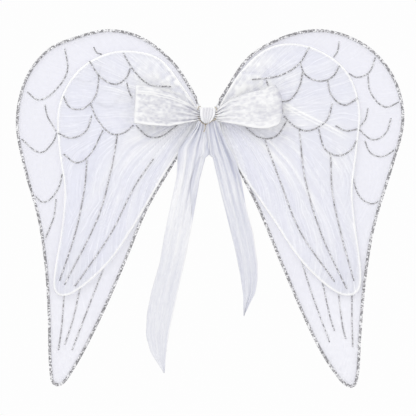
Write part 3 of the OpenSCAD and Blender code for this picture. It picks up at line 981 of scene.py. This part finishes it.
# %% Strip helper
def strip(name, points, along, across, fold, thickness, closed=False):
    """A ribbon from a grid of points; along and across are its UVs in metres."""
    rows, columns = points.shape[:2]
    mesh = mesh_of(name, points.reshape(-1, 3), grid_faces(rows, columns, wrap_rows=closed),
                   np.stack([along.ravel(), across.ravel()], 1), fold=fold.ravel())
    return outwards(modified(mesh, "SOLIDIFY", thickness=thickness, offset=0))


def ridge(v, at, width):
    """A rounded ridge, 1 high, at one place across."""
    return np.exp(-((v - at) / width) ** 2)


# %% Bow loops
PINCHED = 5 * MM


def loop_profile(node, sign):
    """Top, bottom, front and back of a bow loop over its distance from the middle."""
    points = np.array([v.co for v in frame["nodes"][node].data.vertices])
    out = np.round(points[:, 0] * sign, 4)
    at = np.unique(out)
    reach = np.array([[p[:, 2].max(), p[:, 2].min(), p[:, 1].min(), p[:, 1].max()]
                      for p in (points[out == x] for x in at)])
    tall = (reach[:, 0] - reach[:, 1]) > PINCHED
    return at[tall], reach[tall]


# %% The loop's path
END_RADIUS, INTO_KNOT = 3.2 * MM, 9 * MM


def loop_path(at, reach):
    """Distance out, depth and turn of the ribbon from the knot, round the end and back."""
    start, turn_at = at[0], at[-1] - END_RADIUS
    front = np.linspace(start - INTO_KNOT, turn_at, 76)
    back = front[::-2]
    y_front = np.interp(front, at, np.minimum.accumulate(reach[:, 2]))
    y_back = np.interp(back, at, reach[:, 3])
    y_back = np.minimum(y_back, np.interp(back, [start, turn_at],
                                          [reach[0, 3], reach[-20, 3] + 1.5 * MM]))
    bends = np.linspace(-math.pi / 2, math.pi / 2, 9)[1:-1]
    middle, radius = (y_front[-1] + y_back[0]) / 2, (y_back[0] - y_front[-1]) / 2
    out = np.concatenate([front, turn_at + END_RADIUS * np.cos(bends), back])
    depth = np.concatenate([y_front, middle + radius * np.sin(bends), y_back])
    behind = np.concatenate([np.zeros(len(front)), (bends + math.pi / 2) / math.pi,
                             np.ones(len(back))])
    return out[:, None], depth[:, None], behind[:, None]


def loop_edges(side, out, v, top, bottom):
    """A loop's edges as they are seen, and how far its end is cut back."""
    if side == "left":
        return top, bottom, 3.4 * MM * v - 0.8 * MM
    top = top - 3.6 * MM * ease((86 * MM - out) / (18 * MM)) * ease((out - 14 * MM) / (20 * MM))
    bottom = bottom - 2.4 * MM * ease((out - 40 * MM) / (25 * MM)) * ease(
        (96 * MM - out) / (10 * MM))
    upper, lower = np.clip((v - 0.5) / 0.5, 0, 1), np.clip((0.22 - v) / 0.22, 0, 1)
    return top, bottom, 7.5 * MM * upper ** 2 + 3.5 * MM * lower ** 2


# %% Make the loops
# Of these looks, lines, end and light are painted light: lines sets the painted highlights on the
# long folds, end a painted highlight at the left loop's end and painted shade at the right one's,
# and light a painted lightening of the whole right loop.
LOOP_LOOKS = {"left": {"seed": 3, "gather": 0.30, "rough": 1.0, "lines": 0.55, "end": 0.45,
                       "folded": 1, "light": 0.0},
              "right": {"seed": 8, "gather": 0.22, "rough": 0.8, "lines": 0.16, "end": -0.22,
                        "folded": 0, "light": 0.12}}
LOOP_THICKNESS = 0.35 * MM


def bow_loop(side, sign):
    """One flat loop of ribbon, pinched at the knot."""
    node, columns, look = f"bow_{side}_loop", 66, LOOP_LOOKS[side]
    seed, rough, folded = look["seed"], look["rough"], look["folded"]
    at, reach = loop_profile(node, sign)
    start, end = at[0], at[-1]
    v = np.linspace(0, 1, columns)[None, :]
    out, depth, behind = loop_path(at, reach)
    top, bottom, cut = loop_edges(side, out, v, np.interp(out, at, reach[:, 0]),
                                  np.interp(out, at, reach[:, 1]))
    slim = 1 - 0.25 * ease((start + 5 * MM - out) / (14 * MM))
    top, bottom = top * slim, bottom * slim
    far = (out - start) / (end - start)
    pull = np.exp(-np.maximum(far, 0) / look["gather"])
    wander = 0.05 * field(far * 3, v * 2, seed)
    pleats = np.sin(2 * math.pi * (4.4 * (v + wander) + 0.15 * seed))
    pleats += 0.5 * np.sin(2 * math.pi * (8.3 * (v - wander) + 0.4))
    height = bottom + (top - bottom) * v
    crinkle = field(out / 0.0085 + 2 * field(height / 0.02, out / 0.03, 9), height / 0.006,
                    seed + 1)
    small = field(out / 0.0032, height / 0.0026, seed + 2)
    tiny = field(out / 0.0016, height / 0.0015, seed + 3)
    long_fold = ridge(v, 0.93 - 0.10 * far, 0.018) * ease(far * 4)
    second = ridge(v, 0.84 - 0.05 * far, 0.014) * ease(far * 4) * folded
    hem = ridge(v, 0.03, 0.03)
    bulge = 4 * v * (1 - v)
    push = (1.5 * MM * pull * pleats + rough * (0.55 * MM * crinkle + 0.28 * MM * small) * far
            + 0.10 * MM * tiny + 0.7 * MM * long_fold * folded + 0.5 * MM * second
            + 0.5 * MM * hem * far + 1.2 * MM * bulge * ease(far * 2) * (1 - far))
    room = np.where(behind > 0.5, 0.35, 1.0)
    y = depth - push * room * np.cos(math.pi * behind)
    z = height + 0.6 * MM * field(out / 0.02, v * 0, seed + 4) * far
    x = sign * (out - cut * ease((far - 0.62) / 0.38)
                + 0.7 * MM * field(height / 0.018, out * 0, seed) * ease((far - 0.8) / 0.2))
    points = np.stack([x, y, z], 2)
    along = lengths(points[:, columns // 2])[:, None] + 0 * v
    across = v * RIBBON_WIDTH + 0 * along
    # Painted light and shade: lighter and darker across the pleats, painted highlights on the long
    # folds, a painted highlight or painted shade at the loop's end as its look sets, a lighter hem,
    # and random crinkle tone.
    fold = (0.11 + look["light"] + 0.12 * pull * pleats + 0.20 * small * rough
            + 0.20 * rough * crinkle * np.clip(far, 0, 1)
            + look["lines"] * (long_fold + second) * (behind < 0.2) + 0.45 * hem
            + look["end"] * ridge(out, end, 3.5 * MM))
    mesh = strip(f"{side}_loop", points, along, across, fold, LOOP_THICKNESS)
    made = place(f"bow_{side}_ribbon_loop", mesh, loop_finish, "centre", [node])


for side, sign in SIDES.items():
    bow_loop(side, sign)

# %% [markdown]
# ## The knot
# A shorter length of the same ribbon is wound round the middle, straight across the top and drawn
# to a point below. It is a belt round the loops' pinched ends, open at both sides, with fine
# pleats that close up towards the point and a heavier fold down each side.


# %% Knot
KNOT_ROUNDS, KNOT_COLUMNS, KNOT_THICKNESS, BELLY_RADIUS = 96, 46, 0.4 * MM, 16 * MM


def knot_sides(low, high):
    """The knot's left and right edge over its height, read off its front."""
    front = [Vector((v.co.x, v.co.z)) for v in frame["nodes"]["bow_knot"].data.vertices
             if v.co.y < (low.y + high.y) / 2]
    outline = spaced(np.array([front[k] for k in geometry.convex_hull_2d(front)]), 0.2 * MM)
    levels = np.linspace(low.z + 0.3 * MM, high.z - 0.1 * MM, 60)
    near = [outline[np.abs(outline[:, 1] - z) < 0.25 * MM, 0] for z in levels]
    return levels, np.array([n.min() for n in near]), np.array([n.max() for n in near])


def knot():
    """A belt of pleated ribbon round the loops' pinched ends."""
    low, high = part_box("bow_knot")
    u = np.linspace(-1, 1, KNOT_COLUMNS)[None, :]
    turns = np.linspace(0, 2 * math.pi, KNOT_ROUNDS, endpoint=False)[:, None]
    deep = (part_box("bow_left_loop")[1].y - low.y) / 2
    z = (high.z + low.z) / 2 + (high.z - low.z) / 2 * squarish(np.cos(turns), 0.55) + 0 * u
    depth = low.y + deep - deep * squarish(np.sin(turns), 0.7)
    levels, lefts, rights = knot_sides(low, high)
    left, right = (np.interp(z[:, :1], levels, edge) for edge in (lefts, rights))
    x = (left + right) / 2 + (right - left) / 2 * u
    front = ease((np.sin(turns) + 0.3) / 0.8)
    side_fold = ridge(np.abs(u), 0.86, 0.10)
    pleat = np.sin(2 * math.pi * (2.6 * u + 0.25 * field(z / 0.008, u, 4))) * (1 - side_fold)
    fine = field(u * 5, z / 0.012, 6)
    push = 0.9 * MM * side_fold + 0.45 * MM * pleat + 0.35 * MM * fine
    y = depth + x ** 2 / (2 * BELLY_RADIUS) * (0.4 + 0.6 * front) - push * front
    along = turns / (2 * math.pi) * 0.062 + 0 * u
    across = (u + 1) / 2 * 0.030 + 0 * turns
    # Painted light: painted highlights on the side folds, and lighter and darker bands across the
    # pleats.
    fold = 0.18 + 0.62 * side_fold + 0.14 * pleat + 0.12 * fine
    mesh = strip("knot", np.stack([x, y, z], 2), along, across, fold, KNOT_THICKNESS, closed=True)
    made = place("bow_knot_ribbon", mesh, knot_finish, "centre", ["bow_knot"])
    print(f"  knot cloth {area_of(mesh) / 2:.5f} m2")


knot()

# %% [markdown]
# ## Tails
# The two tails hang from the knot. Near it they are gathered in sharp pleats that open into long
# soft streaks. The ribbon is wider than it looks, because one edge is turned under and the other
# is turned over to the front, more so on the left tail.


# %% Tail outline
ARCH_TOP, ARCH_HALF, TAIL_LEVELS = -50.5 * MM, 3.0 * MM, 300


def tail_sides(side):
    """Where a tail's left and right edges are at each height."""
    outline = spaced(face_outline(f"bow_{side}_tail"), 1 * MM)
    low, high = outline[:, 1].min(), outline[:, 1].max()
    levels = np.linspace(high - 0.6 * MM, low + 0.6 * MM, TAIL_LEVELS)
    near = [outline[np.abs(outline[:, 1] - z) < 0.9 * MM, 0] for z in levels]
    reach, box = 4, np.ones(9) / 9
    left, right = (np.convolve(np.pad([pick(n) for n in near], reach, mode="edge"), box, "valid")
                   for pick in (np.min, np.max))
    return levels, left, right


def into_knot(levels, left, right):
    """The same outline, carried up behind the knot and drawn in."""
    inset = np.linspace(-5 * MM, levels[0], 9)[:-1]
    centre = (left[0] + right[0]) / 2
    grip = 0.55 + 0.45 * ease((inset[0] - inset) / (inset[0] - levels[0]))
    drift = np.linspace(0, 1, len(inset))
    sides = [np.concatenate([(centre * 0.6 + (edge[0] - centre) * grip) * (1 - drift)
                             + edge[0] * drift, edge]) for edge in (left, right)]
    return np.concatenate([inset, levels]), *sides


def arch(z):
    """How far a tail's inner edge stands back, so that the gap between the tails is round."""
    below = ARCH_TOP - z
    back = ARCH_HALF * ease(below / (3.5 * MM)) * np.exp(-np.maximum(below, 0) / (45 * MM))
    filled = ease((below + 9 * MM) / (4 * MM)) * (1 - ease((below + MM) / (1.5 * MM)))
    return back - 1.2 * MM * filled


# %% Tail edges turned under and over
TURNED_OVER = {"left": (12, 22, 40, 75, 60), "right": (4, 8, 20, 60, 60)}
LAYER_GAP = 0.9 * MM


def tail_section(side, z, left, right):
    """The ribbon across each level: turned under at the left, across, turned over at the right."""
    below, wide = z[0] - z, right - left
    most, start, grow, end, fade = (MM * n for n in TURNED_OVER[side])
    over = most * ease((below - start) / grow) * (1 - ease((below - end) / fade))
    under = np.clip(RIBBON_WIDTH - wide - over, 0.4 * MM, 0.62 * wide)
    under *= ease((z - z[-1]) / (60 * MM)) * 0.98 + 0.02
    rows = []
    for k in range(len(z)):
        back = left[k] + under[k] * np.linspace(1, 0.03, 12)
        face = np.linspace(left[k], right[k], 44)
        turned = right[k] - over[k] * np.linspace(0.03, 1, 12)
        depth = np.repeat([LAYER_GAP, 0, -LAYER_GAP * ease(over[k] / (3 * MM))],
                          [len(back), len(face), len(turned)])
        rows.append(np.stack([np.concatenate([back, face, turned]), depth], 1))
    return np.array(rows)


# %% Make the tails
# lit and lit_end paint a band of light down the left tail and fade it towards the bottom.
TAIL_LOOKS = {"left": {"seed": 21, "sway": 1, "lit": 0.20, "lit_end": 0.5},
              "right": {"seed": 29, "sway": -1, "lit": 0.0, "lit_end": 0.0}}
TAIL_BLEND, TAIL_THICKNESS, TAIL_SHARE = (-13 * MM, -30 * MM), 0.3 * MM, 0.9


def hung_from_knot(piece):
    """Bakes a piece's placement into its mesh."""
    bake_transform(piece)


def tail(side, sign):
    """One hanging tail, pleated at the top and streaked below."""
    z, left, right = into_knot(*tail_sides(side))
    low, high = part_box(f"bow_{side}_tail")
    grid = tail_section(side, z, left, right)
    x, off = grid[..., 0], grid[..., 1]
    at = (x - left[:, None]) / np.maximum((right - left)[:, None], 1e-6)
    inner_edge = at if side == "left" else 1 - at
    x = x + sign * arch(z)[:, None] * np.clip(inner_edge, 0, 1) ** 5
    look = TAIL_LOOKS[side]
    seed, down = look["seed"], (z[0] - z)[:, None]
    gathered = np.exp(-down / (70 * MM))
    wander = 0.10 * field(down / 0.06, at * 2, seed)
    pleats = np.sin(2 * math.pi * (3.4 * (at + wander) + 0.21 * seed))
    pleats += 0.6 * np.sin(2 * math.pi * (6.8 * (at - wander) + 0.6))
    slow = field(at * 2.2 + down / 0.4, down / 0.075, seed + 1)
    streak = field(at * 9 + 2 * field(down / 0.09, at, seed), down / 0.055, seed + 2)
    thin = field(at * 22 + field(down / 0.05, at * 2, 4), down / 0.03, seed + 3)
    crinkle = field(x / 0.006, down / 0.009, seed + 4)
    push = (1.25 * MM * (0.25 + gathered) * pleats * (1 - 0.5 * ease(down / 0.3))
            + 1.1 * MM * slow + 0.55 * MM * streak + 0.18 * MM * thin + 0.22 * MM * crinkle)
    sway = 2.4 * MM * np.sin(down / (52 * MM)) * ease(down / (60 * MM)) * look["sway"]
    y = (low.y + high.y) / 2 + off - (push + sway) * ease(down / (14 * MM))
    points = np.stack([x, y, z[:, None] + 0 * x], 2)
    edge_highlight = ridge(at, 1, 0.035) * (np.abs(off) < 0.01 * MM)
    calm = 1 - 0.6 * ease((down - 0.05) / 0.12)
    lit = look["lit"] * ease((down - 0.03) / 0.06)
    lit = lit * (1 - look["lit_end"] * ease((down - 0.14) / 0.08))
    # Painted light: a painted band of light on the left tail, painted highlights along the streaks,
    # pleats and right edge, and a darker turned-over strip.
    fold = (0.26 + lit + calm * (0.20 * streak + 0.16 * thin + 0.10 * slow)
            + 0.22 * gathered * pleats + 0.5 * edge_highlight - 0.22 * (off < -0.1 * MM))
    mesh = strip(f"{side}_tail", points, down + 0 * x, lengths(grid[60])[None, :] + 0 * x, fold,
                 TAIL_THICKNESS)
    made = place(f"bow_{side}_ribbon_tail", mesh, tail_finish, None, [f"bow_{side}_tail"])
    hung_from_knot(made)


for side, sign in SIDES.items():
    tail(side, sign)

# %% [markdown]
# ## Gold thread
# A thin metallic thread lashes the knot. It is two plies twisted together, so the tube has two
# lobes that turn along it, and it dips in and out of the ribbon's folds.

# %% Gold thread finish
gold_finish, tree, shader = finish("gold thread", 0.34, Metallic=0.4)
ply = noise(tree, on_object(tree), 1400.0, Detail=2.0)
coloured(tree, shader, ply, (0.3, (0.22, 0.15, 0.05)), (0.52, (0.50, 0.36, 0.14)),
         (0.75, (0.85, 0.70, 0.38)))
bumped(tree, shader, ply, 0.4, 0.0002)

# %% Lashing and loose end
THREAD_TWIST, THREAD_STEP, SMOOTHINGS = 2200, 0.35 * MM, 12
tie_low, tie_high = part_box("gold_tie")
THREAD_RADIUS = (tie_high.y - tie_low.y) / 2 * 0.85


def thread(name, middle, points, body, node=None):
    """A length of gold thread through points in mm, their depths counted from a middle plane."""
    points = np.array(points) * MM
    points[:, 1] += middle
    line = spaced(points, THREAD_STEP, closed=False)
    for _ in range(SMOOTHINGS):
        line[1:-1] = (line[:-2] + line[1:-1] + line[2:]) / 3
    mesh = outwards(mesh_of(name, *plied(line, THREAD_RADIUS, THREAD_TWIST)))
    return place(name, mesh, gold_finish, body, [node] if node else [])


tie = (tie_low.y + tie_high.y) / 2
thread("gold_lashing_left", tie, [
    (-9.3, 5.0, 10.0), (-12.0, 0.4, 9.6), (-12.6, 0.2, 6.2), (-12.4, 1.6, 3.2),
    (-12.8, 1.8, 0.2), (-12.0, 0.3, -2.9), (-10.6, 0.2, -6.4), (-8.6, 1.2, -9.0),
    (-5.6, 0.1, -11.6), (-3.6, 0.8, -12.4), (-1.2, -0.2, -11.9), (1.6, 0.6, -10.4),
    (3.6, -0.4, -9.0), (6.4, -0.3, -6.2), (9.2, 0.4, -5.4), (11.4, 2.8, -4.0)],
    "centre", "gold_tie")
thread("gold_lashing_right", tie, [
    (8.2, 5.0, 9.6), (10.0, 0.4, 8.2), (11.2, 0.0, 5.0), (10.6, 0.8, 2.2), (11.6, -0.1, -0.6),
    (10.2, 0.5, -3.4), (9.4, 0.2, -6.2), (6.6, 1.4, -8.4), (3.2, 3.6, -9.4)], "centre")
end_low, end_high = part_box("gold_thread_end")
loose_end = thread("gold_loose_end", (end_low.y + end_high.y) / 2, [
    (-3.4, 0.4, -12.6), (-3.5, -0.6, -14.6), (-3.6, -0.9, -17.0), (-4.0, -0.9, -19.6),
    (-5.5, -0.7, -21.8)], None, "gold_thread_end")
hung_from_knot(loose_end)

# %% [markdown]
# ## Cloth binding
# Cotton tape binds the two roots together. It is one strip wound a little over twice round both,
# so each turn lies on the last and its cut end shows at the side.

# %% Tape finish
tape_finish, tree, shader = finish("cotton tape", 0.85, Sheen_Weight=0.2)
uv = on_cloth(tree)
weave = threads(tree, uv, THREADS_PER_METRE["tape"])
slub = maths(tree, "MULTIPLY_ADD", weave, 0.25, noise(tree, uv, 260.0, Detail=4.0))
coloured(tree, shader, slub, (0.35, (0.72, 0.72, 0.72)), (0.8, (0.93, 0.93, 0.93)))
bumped(tree, shader, weave, 0.5, 0.0003)


# %% Wound tape
def slot_shape(turn, radius, reach):
    """Points round a slot shape; turn counts whole rounds from its front left."""
    straight, arc = 2 * reach, math.pi * radius
    s = (turn % 1) * 2 * (straight + arc)
    second = s >= straight + arc
    s = np.where(second, s - straight - arc, s)
    bend = np.clip((s - straight) / radius, 0, math.pi)
    x = np.where(s < straight, s - reach, reach + radius * np.sin(bend))
    y = np.where(s < straight, -radius, -radius * np.cos(bend))
    return np.where(second, -x, x), np.where(second, -y, y)


TAPE_FROM, TAPE_TO, TAPE_THICKNESS, FIRST_TURN = 0.42, 2.47, 0.36 * MM, 2.15 * MM


def tape():
    """The tape wound round both wing roots."""
    low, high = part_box("centre_wrap")
    outer = (high.y - low.y) / 2
    turn = np.linspace(TAPE_FROM, TAPE_TO, 300)[:, None]
    v = np.linspace(-1, 1, 14)[None, :]
    last = outer - 0.22 * MM
    radius = FIRST_TURN + (last - FIRST_TURN) * (turn - TAPE_FROM) / (TAPE_TO - TAPE_FROM)
    x, y = slot_shape(turn, radius, high.x - outer)
    half = (high.z - low.z) / 2 - 0.3 * MM
    z = half * v + 0.16 * MM * field(turn * 9, v * 0, 51) + 0.14 * MM * np.cos(turn * math.pi)
    y = y + (low.y + high.y) / 2 + 0.03 * MM * field(turn * 40, v * 3, 52)
    points = np.stack([x + 0 * v, y, z], 2)
    along = lengths(points[:, 7])[:, None] + 0 * v
    mesh = strip("tape", points, along, half * (v + 1) + 0 * turn, 0 * z, TAPE_THICKNESS)
    made = place("wound_tape", mesh, tape_finish, "centre", ["centre_wrap"])
    print(f"  tape {along[-1, 0]:.3f} m, one layer {area_of(mesh) / 2:.5f} m2")


tape()

# %% [markdown]
# ## Stitches
# Stitches repeat, so a Geometry Nodes tree lays them: a stretched bead of thread at even steps
# along a line, turned to run with it.


# %% Stitch tree
def stitch_tree():
    """Lays stitches along the edges of a line mesh."""
    tree, given = tree_group("run stitches", "Stitches", Line="Geometry", Step="Float",
                             Thread_radius="Float", Stretch="Float", Finish="Material")
    curve = add(tree, "GeometryNodeMeshToCurve", {"Mesh": given["Line"]})
    even = add(tree, "GeometryNodeResampleCurve", {"Curve": curve.outputs["Curve"],
                                                   "Length": given["Step"]}, mode="LENGTH")
    run = add(tree, "GeometryNodeInputTangent")
    turned = add(tree, "FunctionNodeAlignRotationToVector", {"Vector": run.outputs["Tangent"]},
                 axis="X")
    thread_bead = add(tree, "GeometryNodeMeshUVSphere", {"Segments": 8, "Rings": 6,
                                                         "Radius": given["Thread radius"]})
    size = add(tree, "ShaderNodeCombineXYZ", {"X": given["Stretch"], "Y": 1.0, "Z": 1.0})
    laid = add(tree, "GeometryNodeInstanceOnPoints",
               {"Points": even.outputs["Curve"], "Instance": thread_bead.outputs["Mesh"],
                "Rotation": turned.outputs["Rotation"], "Scale": size.outputs[0]})
    return delivered(tree, laid.outputs["Instances"], given["Finish"])


# %% Sewing
STITCHES = stitch_tree()
STITCH_RADIUS, STITCH_STRETCH = 0.16 * MM, 3.2
thread_finish, tree, shader = finish("sewing thread", 0.7, Sheen_Weight=0.1)
ply = noise(tree, on_object(tree), 3000.0)
coloured(tree, shader, ply, (0.35, (0.62, 0.62, 0.64)), (0.65, (0.84, 0.84, 0.86)))
bumped(tree, shader, ply, 0.3, 0.0001)


def sewn(name, lines, closed, step, body):
    """A piece of running stitches along one or more lines of points."""
    points = np.vstack(lines)
    edges, first = [], 0
    for line in lines:
        count = len(line)
        edges += [(first + k, first + (k + 1) % count) for k in range(count - (not closed))]
        first += count
    mesh = bpy.data.meshes.new(name)
    mesh.from_pydata([tuple(p) for p in points], edges, [])
    mesh = grown(mesh, STITCHES, Step=step, Thread_radius=STITCH_RADIUS, Stretch=STITCH_STRETCH,
                 Finish=thread_finish)
    return place(name, smooth(mesh), None, body)


# %% [markdown]
# ## Back pad
# The felt pad is crowned and pulled in where it is stitched round its border. Its middle reaches
# the plane that lies on the wearer's back.

# %% Felt finish
felt_finish, tree, shader = finish("white felt", 0.95, Sheen_Weight=0.5, Sheen_Roughness=0.6)
fibre = noise(tree, on_object(tree), 1100.0, Detail=6.0, Distortion=2.0)
coloured(tree, shader, fibre, (0.32, (0.78, 0.78, 0.79)), (0.66, (0.96, 0.96, 0.96)))
bumped(tree, shader, fibre, 0.7, 0.0003)


# %% Pad
BORDER, PAD_STITCH, PAD_FILL = 0.86, 1.7 * MM, 0.7
CROWN, PULLED, FUZZ = 0.95 * MM, 0.22 * MM, 0.05 * MM


def pad():
    """The crowned felt pad and the stitches round its border."""
    low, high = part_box("back_pad")
    half = np.array([high.x - low.x, high.z - low.z]) / 2
    turns = np.linspace(0, 2 * math.pi, 96, endpoint=False)
    way = np.stack([np.cos(turns), np.sin(turns)], 1)
    rim = way * ((np.abs(way) ** 5).sum(1) ** -0.2)[:, None] * half

    def back_face(reach):
        x, z = (rim * reach).T
        return (high.y - CROWN * reach ** 5 - PULLED * ridge(reach, BORDER, 0.05)
                - FUZZ * (1 + field(x / 0.002, z / 0.002, 61)) * reach)

    def ring(reach, y):
        return np.insert(rim * reach, 1, y, axis=1)

    reaches = np.linspace(0.04, 1, 26)
    rings = [ring(r, back_face(r)) for r in reaches]
    rings += [ring(r, low.y + 0.35 * MM * r ** 6) for r in reaches[::-1]]
    mesh = outwards(mesh_of("pad", *bar(np.array(rings), ((0, high.y, 0), (0, low.y, 0)))))
    place("felt_pad", mesh, felt_finish, "centre", ["back_pad"])
    sewn("pad_stitches", [ring(BORDER, back_face(BORDER) + 0.05 * MM)], True, PAD_STITCH,
         "centre")


pad()

# %% [markdown]
# ## Arm straps
# Each strap is ribbed elastic, sewn into two small loops that turn on the wing's root. Its centre
# line is read off the CAD strap's outline. The band has fine ribs along it and hangs in a slight
# wave.

# %% Elastic finish
elastic_finish, tree, shader = finish("ribbed elastic", 0.75, Sheen_Weight=0.2)
where = on_object(tree)
ribs = add(tree, "ShaderNodeTexWave", {"Vector": where, "Scale": 365.0, "Distortion": 0.2},
           bands_direction="Y").outputs["Fac"]
knit = maths(tree, "MULTIPLY_ADD", ribs, 0.35, noise(tree, where, 1500.0, Detail=3.0))
coloured(tree, shader, knit, (0.35, (0.74, 0.74, 0.76)), (0.85, (0.95, 0.95, 0.96)))
bumped(tree, shader, knit, 0.5, 0.0003)

# %% Strap line
BAND_HALF, BAND_THIN, RIB = 3.0 * MM, 0.56 * MM, 0.86 * MM
BAND_START, LOOPS_END, BAND_STEP, BAND_SIDES = 16.4 * MM, 17.6 * MM, 1.2 * MM, 64


def strap_line(node, sign):
    """The middle of the band, from the upper loop round to the lower one, as (x, z) points."""
    outline = spaced(face_outline(node, front=False), 0.5 * MM)
    away = outward(outline)
    middles = []
    for point, way in zip(outline, away):
        gap = np.hypot(*(outline - point).T)
        across = np.where((away @ way < -0.7) & (gap < 1.6 * MM))[0]
        if len(across):
            middles.append((point + outline[across[gap[across].argmin()]]) / 2)
    middles = np.array([m for m in middles if abs(m[0]) > BAND_START])
    centre = middles.mean(0)
    turn = np.arctan2(middles[:, 1] - centre[1], -sign * (middles[:, 0] - centre[0]))
    order = np.argsort(-(turn % (2 * math.pi)))
    line = spaced(middles[order], 0.5 * MM, closed=False)
    for _ in range(30):
        line[1:-1] = (line[:-2] + 2 * line[1:-1] + line[2:]) / 4
    return spaced(line, BAND_STEP, closed=False)


# %% Make the straps
def strap_loops(side, sign, node):
    """The two loops at a strap's ends, cut off its CAD solid and rounded."""
    made = merged(node)
    bmesh.ops.bisect_plane(made, geom=made.verts[:] + made.edges[:] + made.faces[:],
                           plane_co=(sign * LOOPS_END, 0, 0), plane_no=(sign, 0, 0),
                           clear_outer=True)
    bmesh.ops.holes_fill(made, edges=[e for e in made.edges if e.is_boundary])
    mesh = modified(fresh_mesh(made, node), "BEVEL", width=0.2 * MM, segments=2,
                    limit_method="ANGLE")
    place(f"{side}_strap_loops", outwards(mesh), elastic_finish, f"{side}_strap")


def strap(side, sign):
    """A ribbed band, its two loops and the stitches that close them."""
    node = f"{side}_arm_strap"
    line = strap_line(node, sign)
    run = np.gradient(line, axis=0)
    run /= np.linalg.norm(run, axis=1)[:, None]
    normal = np.stack([-run[:, 1], run[:, 0]], 1)
    along = np.arange(len(line)) * BAND_STEP
    ends = ease(along / (25 * MM)) * ease((along[-1] - along) / (25 * MM))
    line = line + normal * (0.35 * MM * np.sin(along / (11 * MM)) * ends)[:, None]
    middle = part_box(node)[1].y - BAND_HALF
    turns = np.linspace(0, 2 * math.pi, BAND_SIDES, endpoint=False)
    wide = BAND_HALF * squarish(np.cos(turns), 0.6)
    thin = BAND_THIN * squarish(np.sin(turns), 0.5) * (0.87 + 0.13 * np.cos(
        2 * math.pi * wide / RIB))
    rings = np.stack([line[:, None, 0] + normal[:, None, 0] * thin,
                      middle + wide + 0 * line[:, None, 0],
                      line[:, None, 1] + normal[:, None, 1] * thin], 2)
    mesh = mesh_of(node, *bar(rings, (rings[0].mean(0), rings[-1].mean(0))))
    place(f"{side}_elastic_band", outwards(mesh), elastic_finish, f"{side}_strap", [node])
    print(f"  {side} band {along[-1]:.3f} m long")
    strap_loops(side, sign, node)
    rows = []
    for at in (2, 3, -4, -3):
        for face in (1, -1):
            x, z = line[at] + face * normal[at] * BAND_THIN
            y = middle + np.linspace(-0.7, 0.7, 5) * BAND_HALF
            rows.append(np.stack([np.full(5, x), y, np.full(5, z)], 1))
    sewn(f"{side}_strap_stitches", rows, False, 1.0 * MM, f"{side}_strap")


for side, sign in SIDES.items():
    strap(side, sign)

low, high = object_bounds()
print("visual box", [round(1000 * (b - a), 1) for a, b in zip(low, high)], "mm")
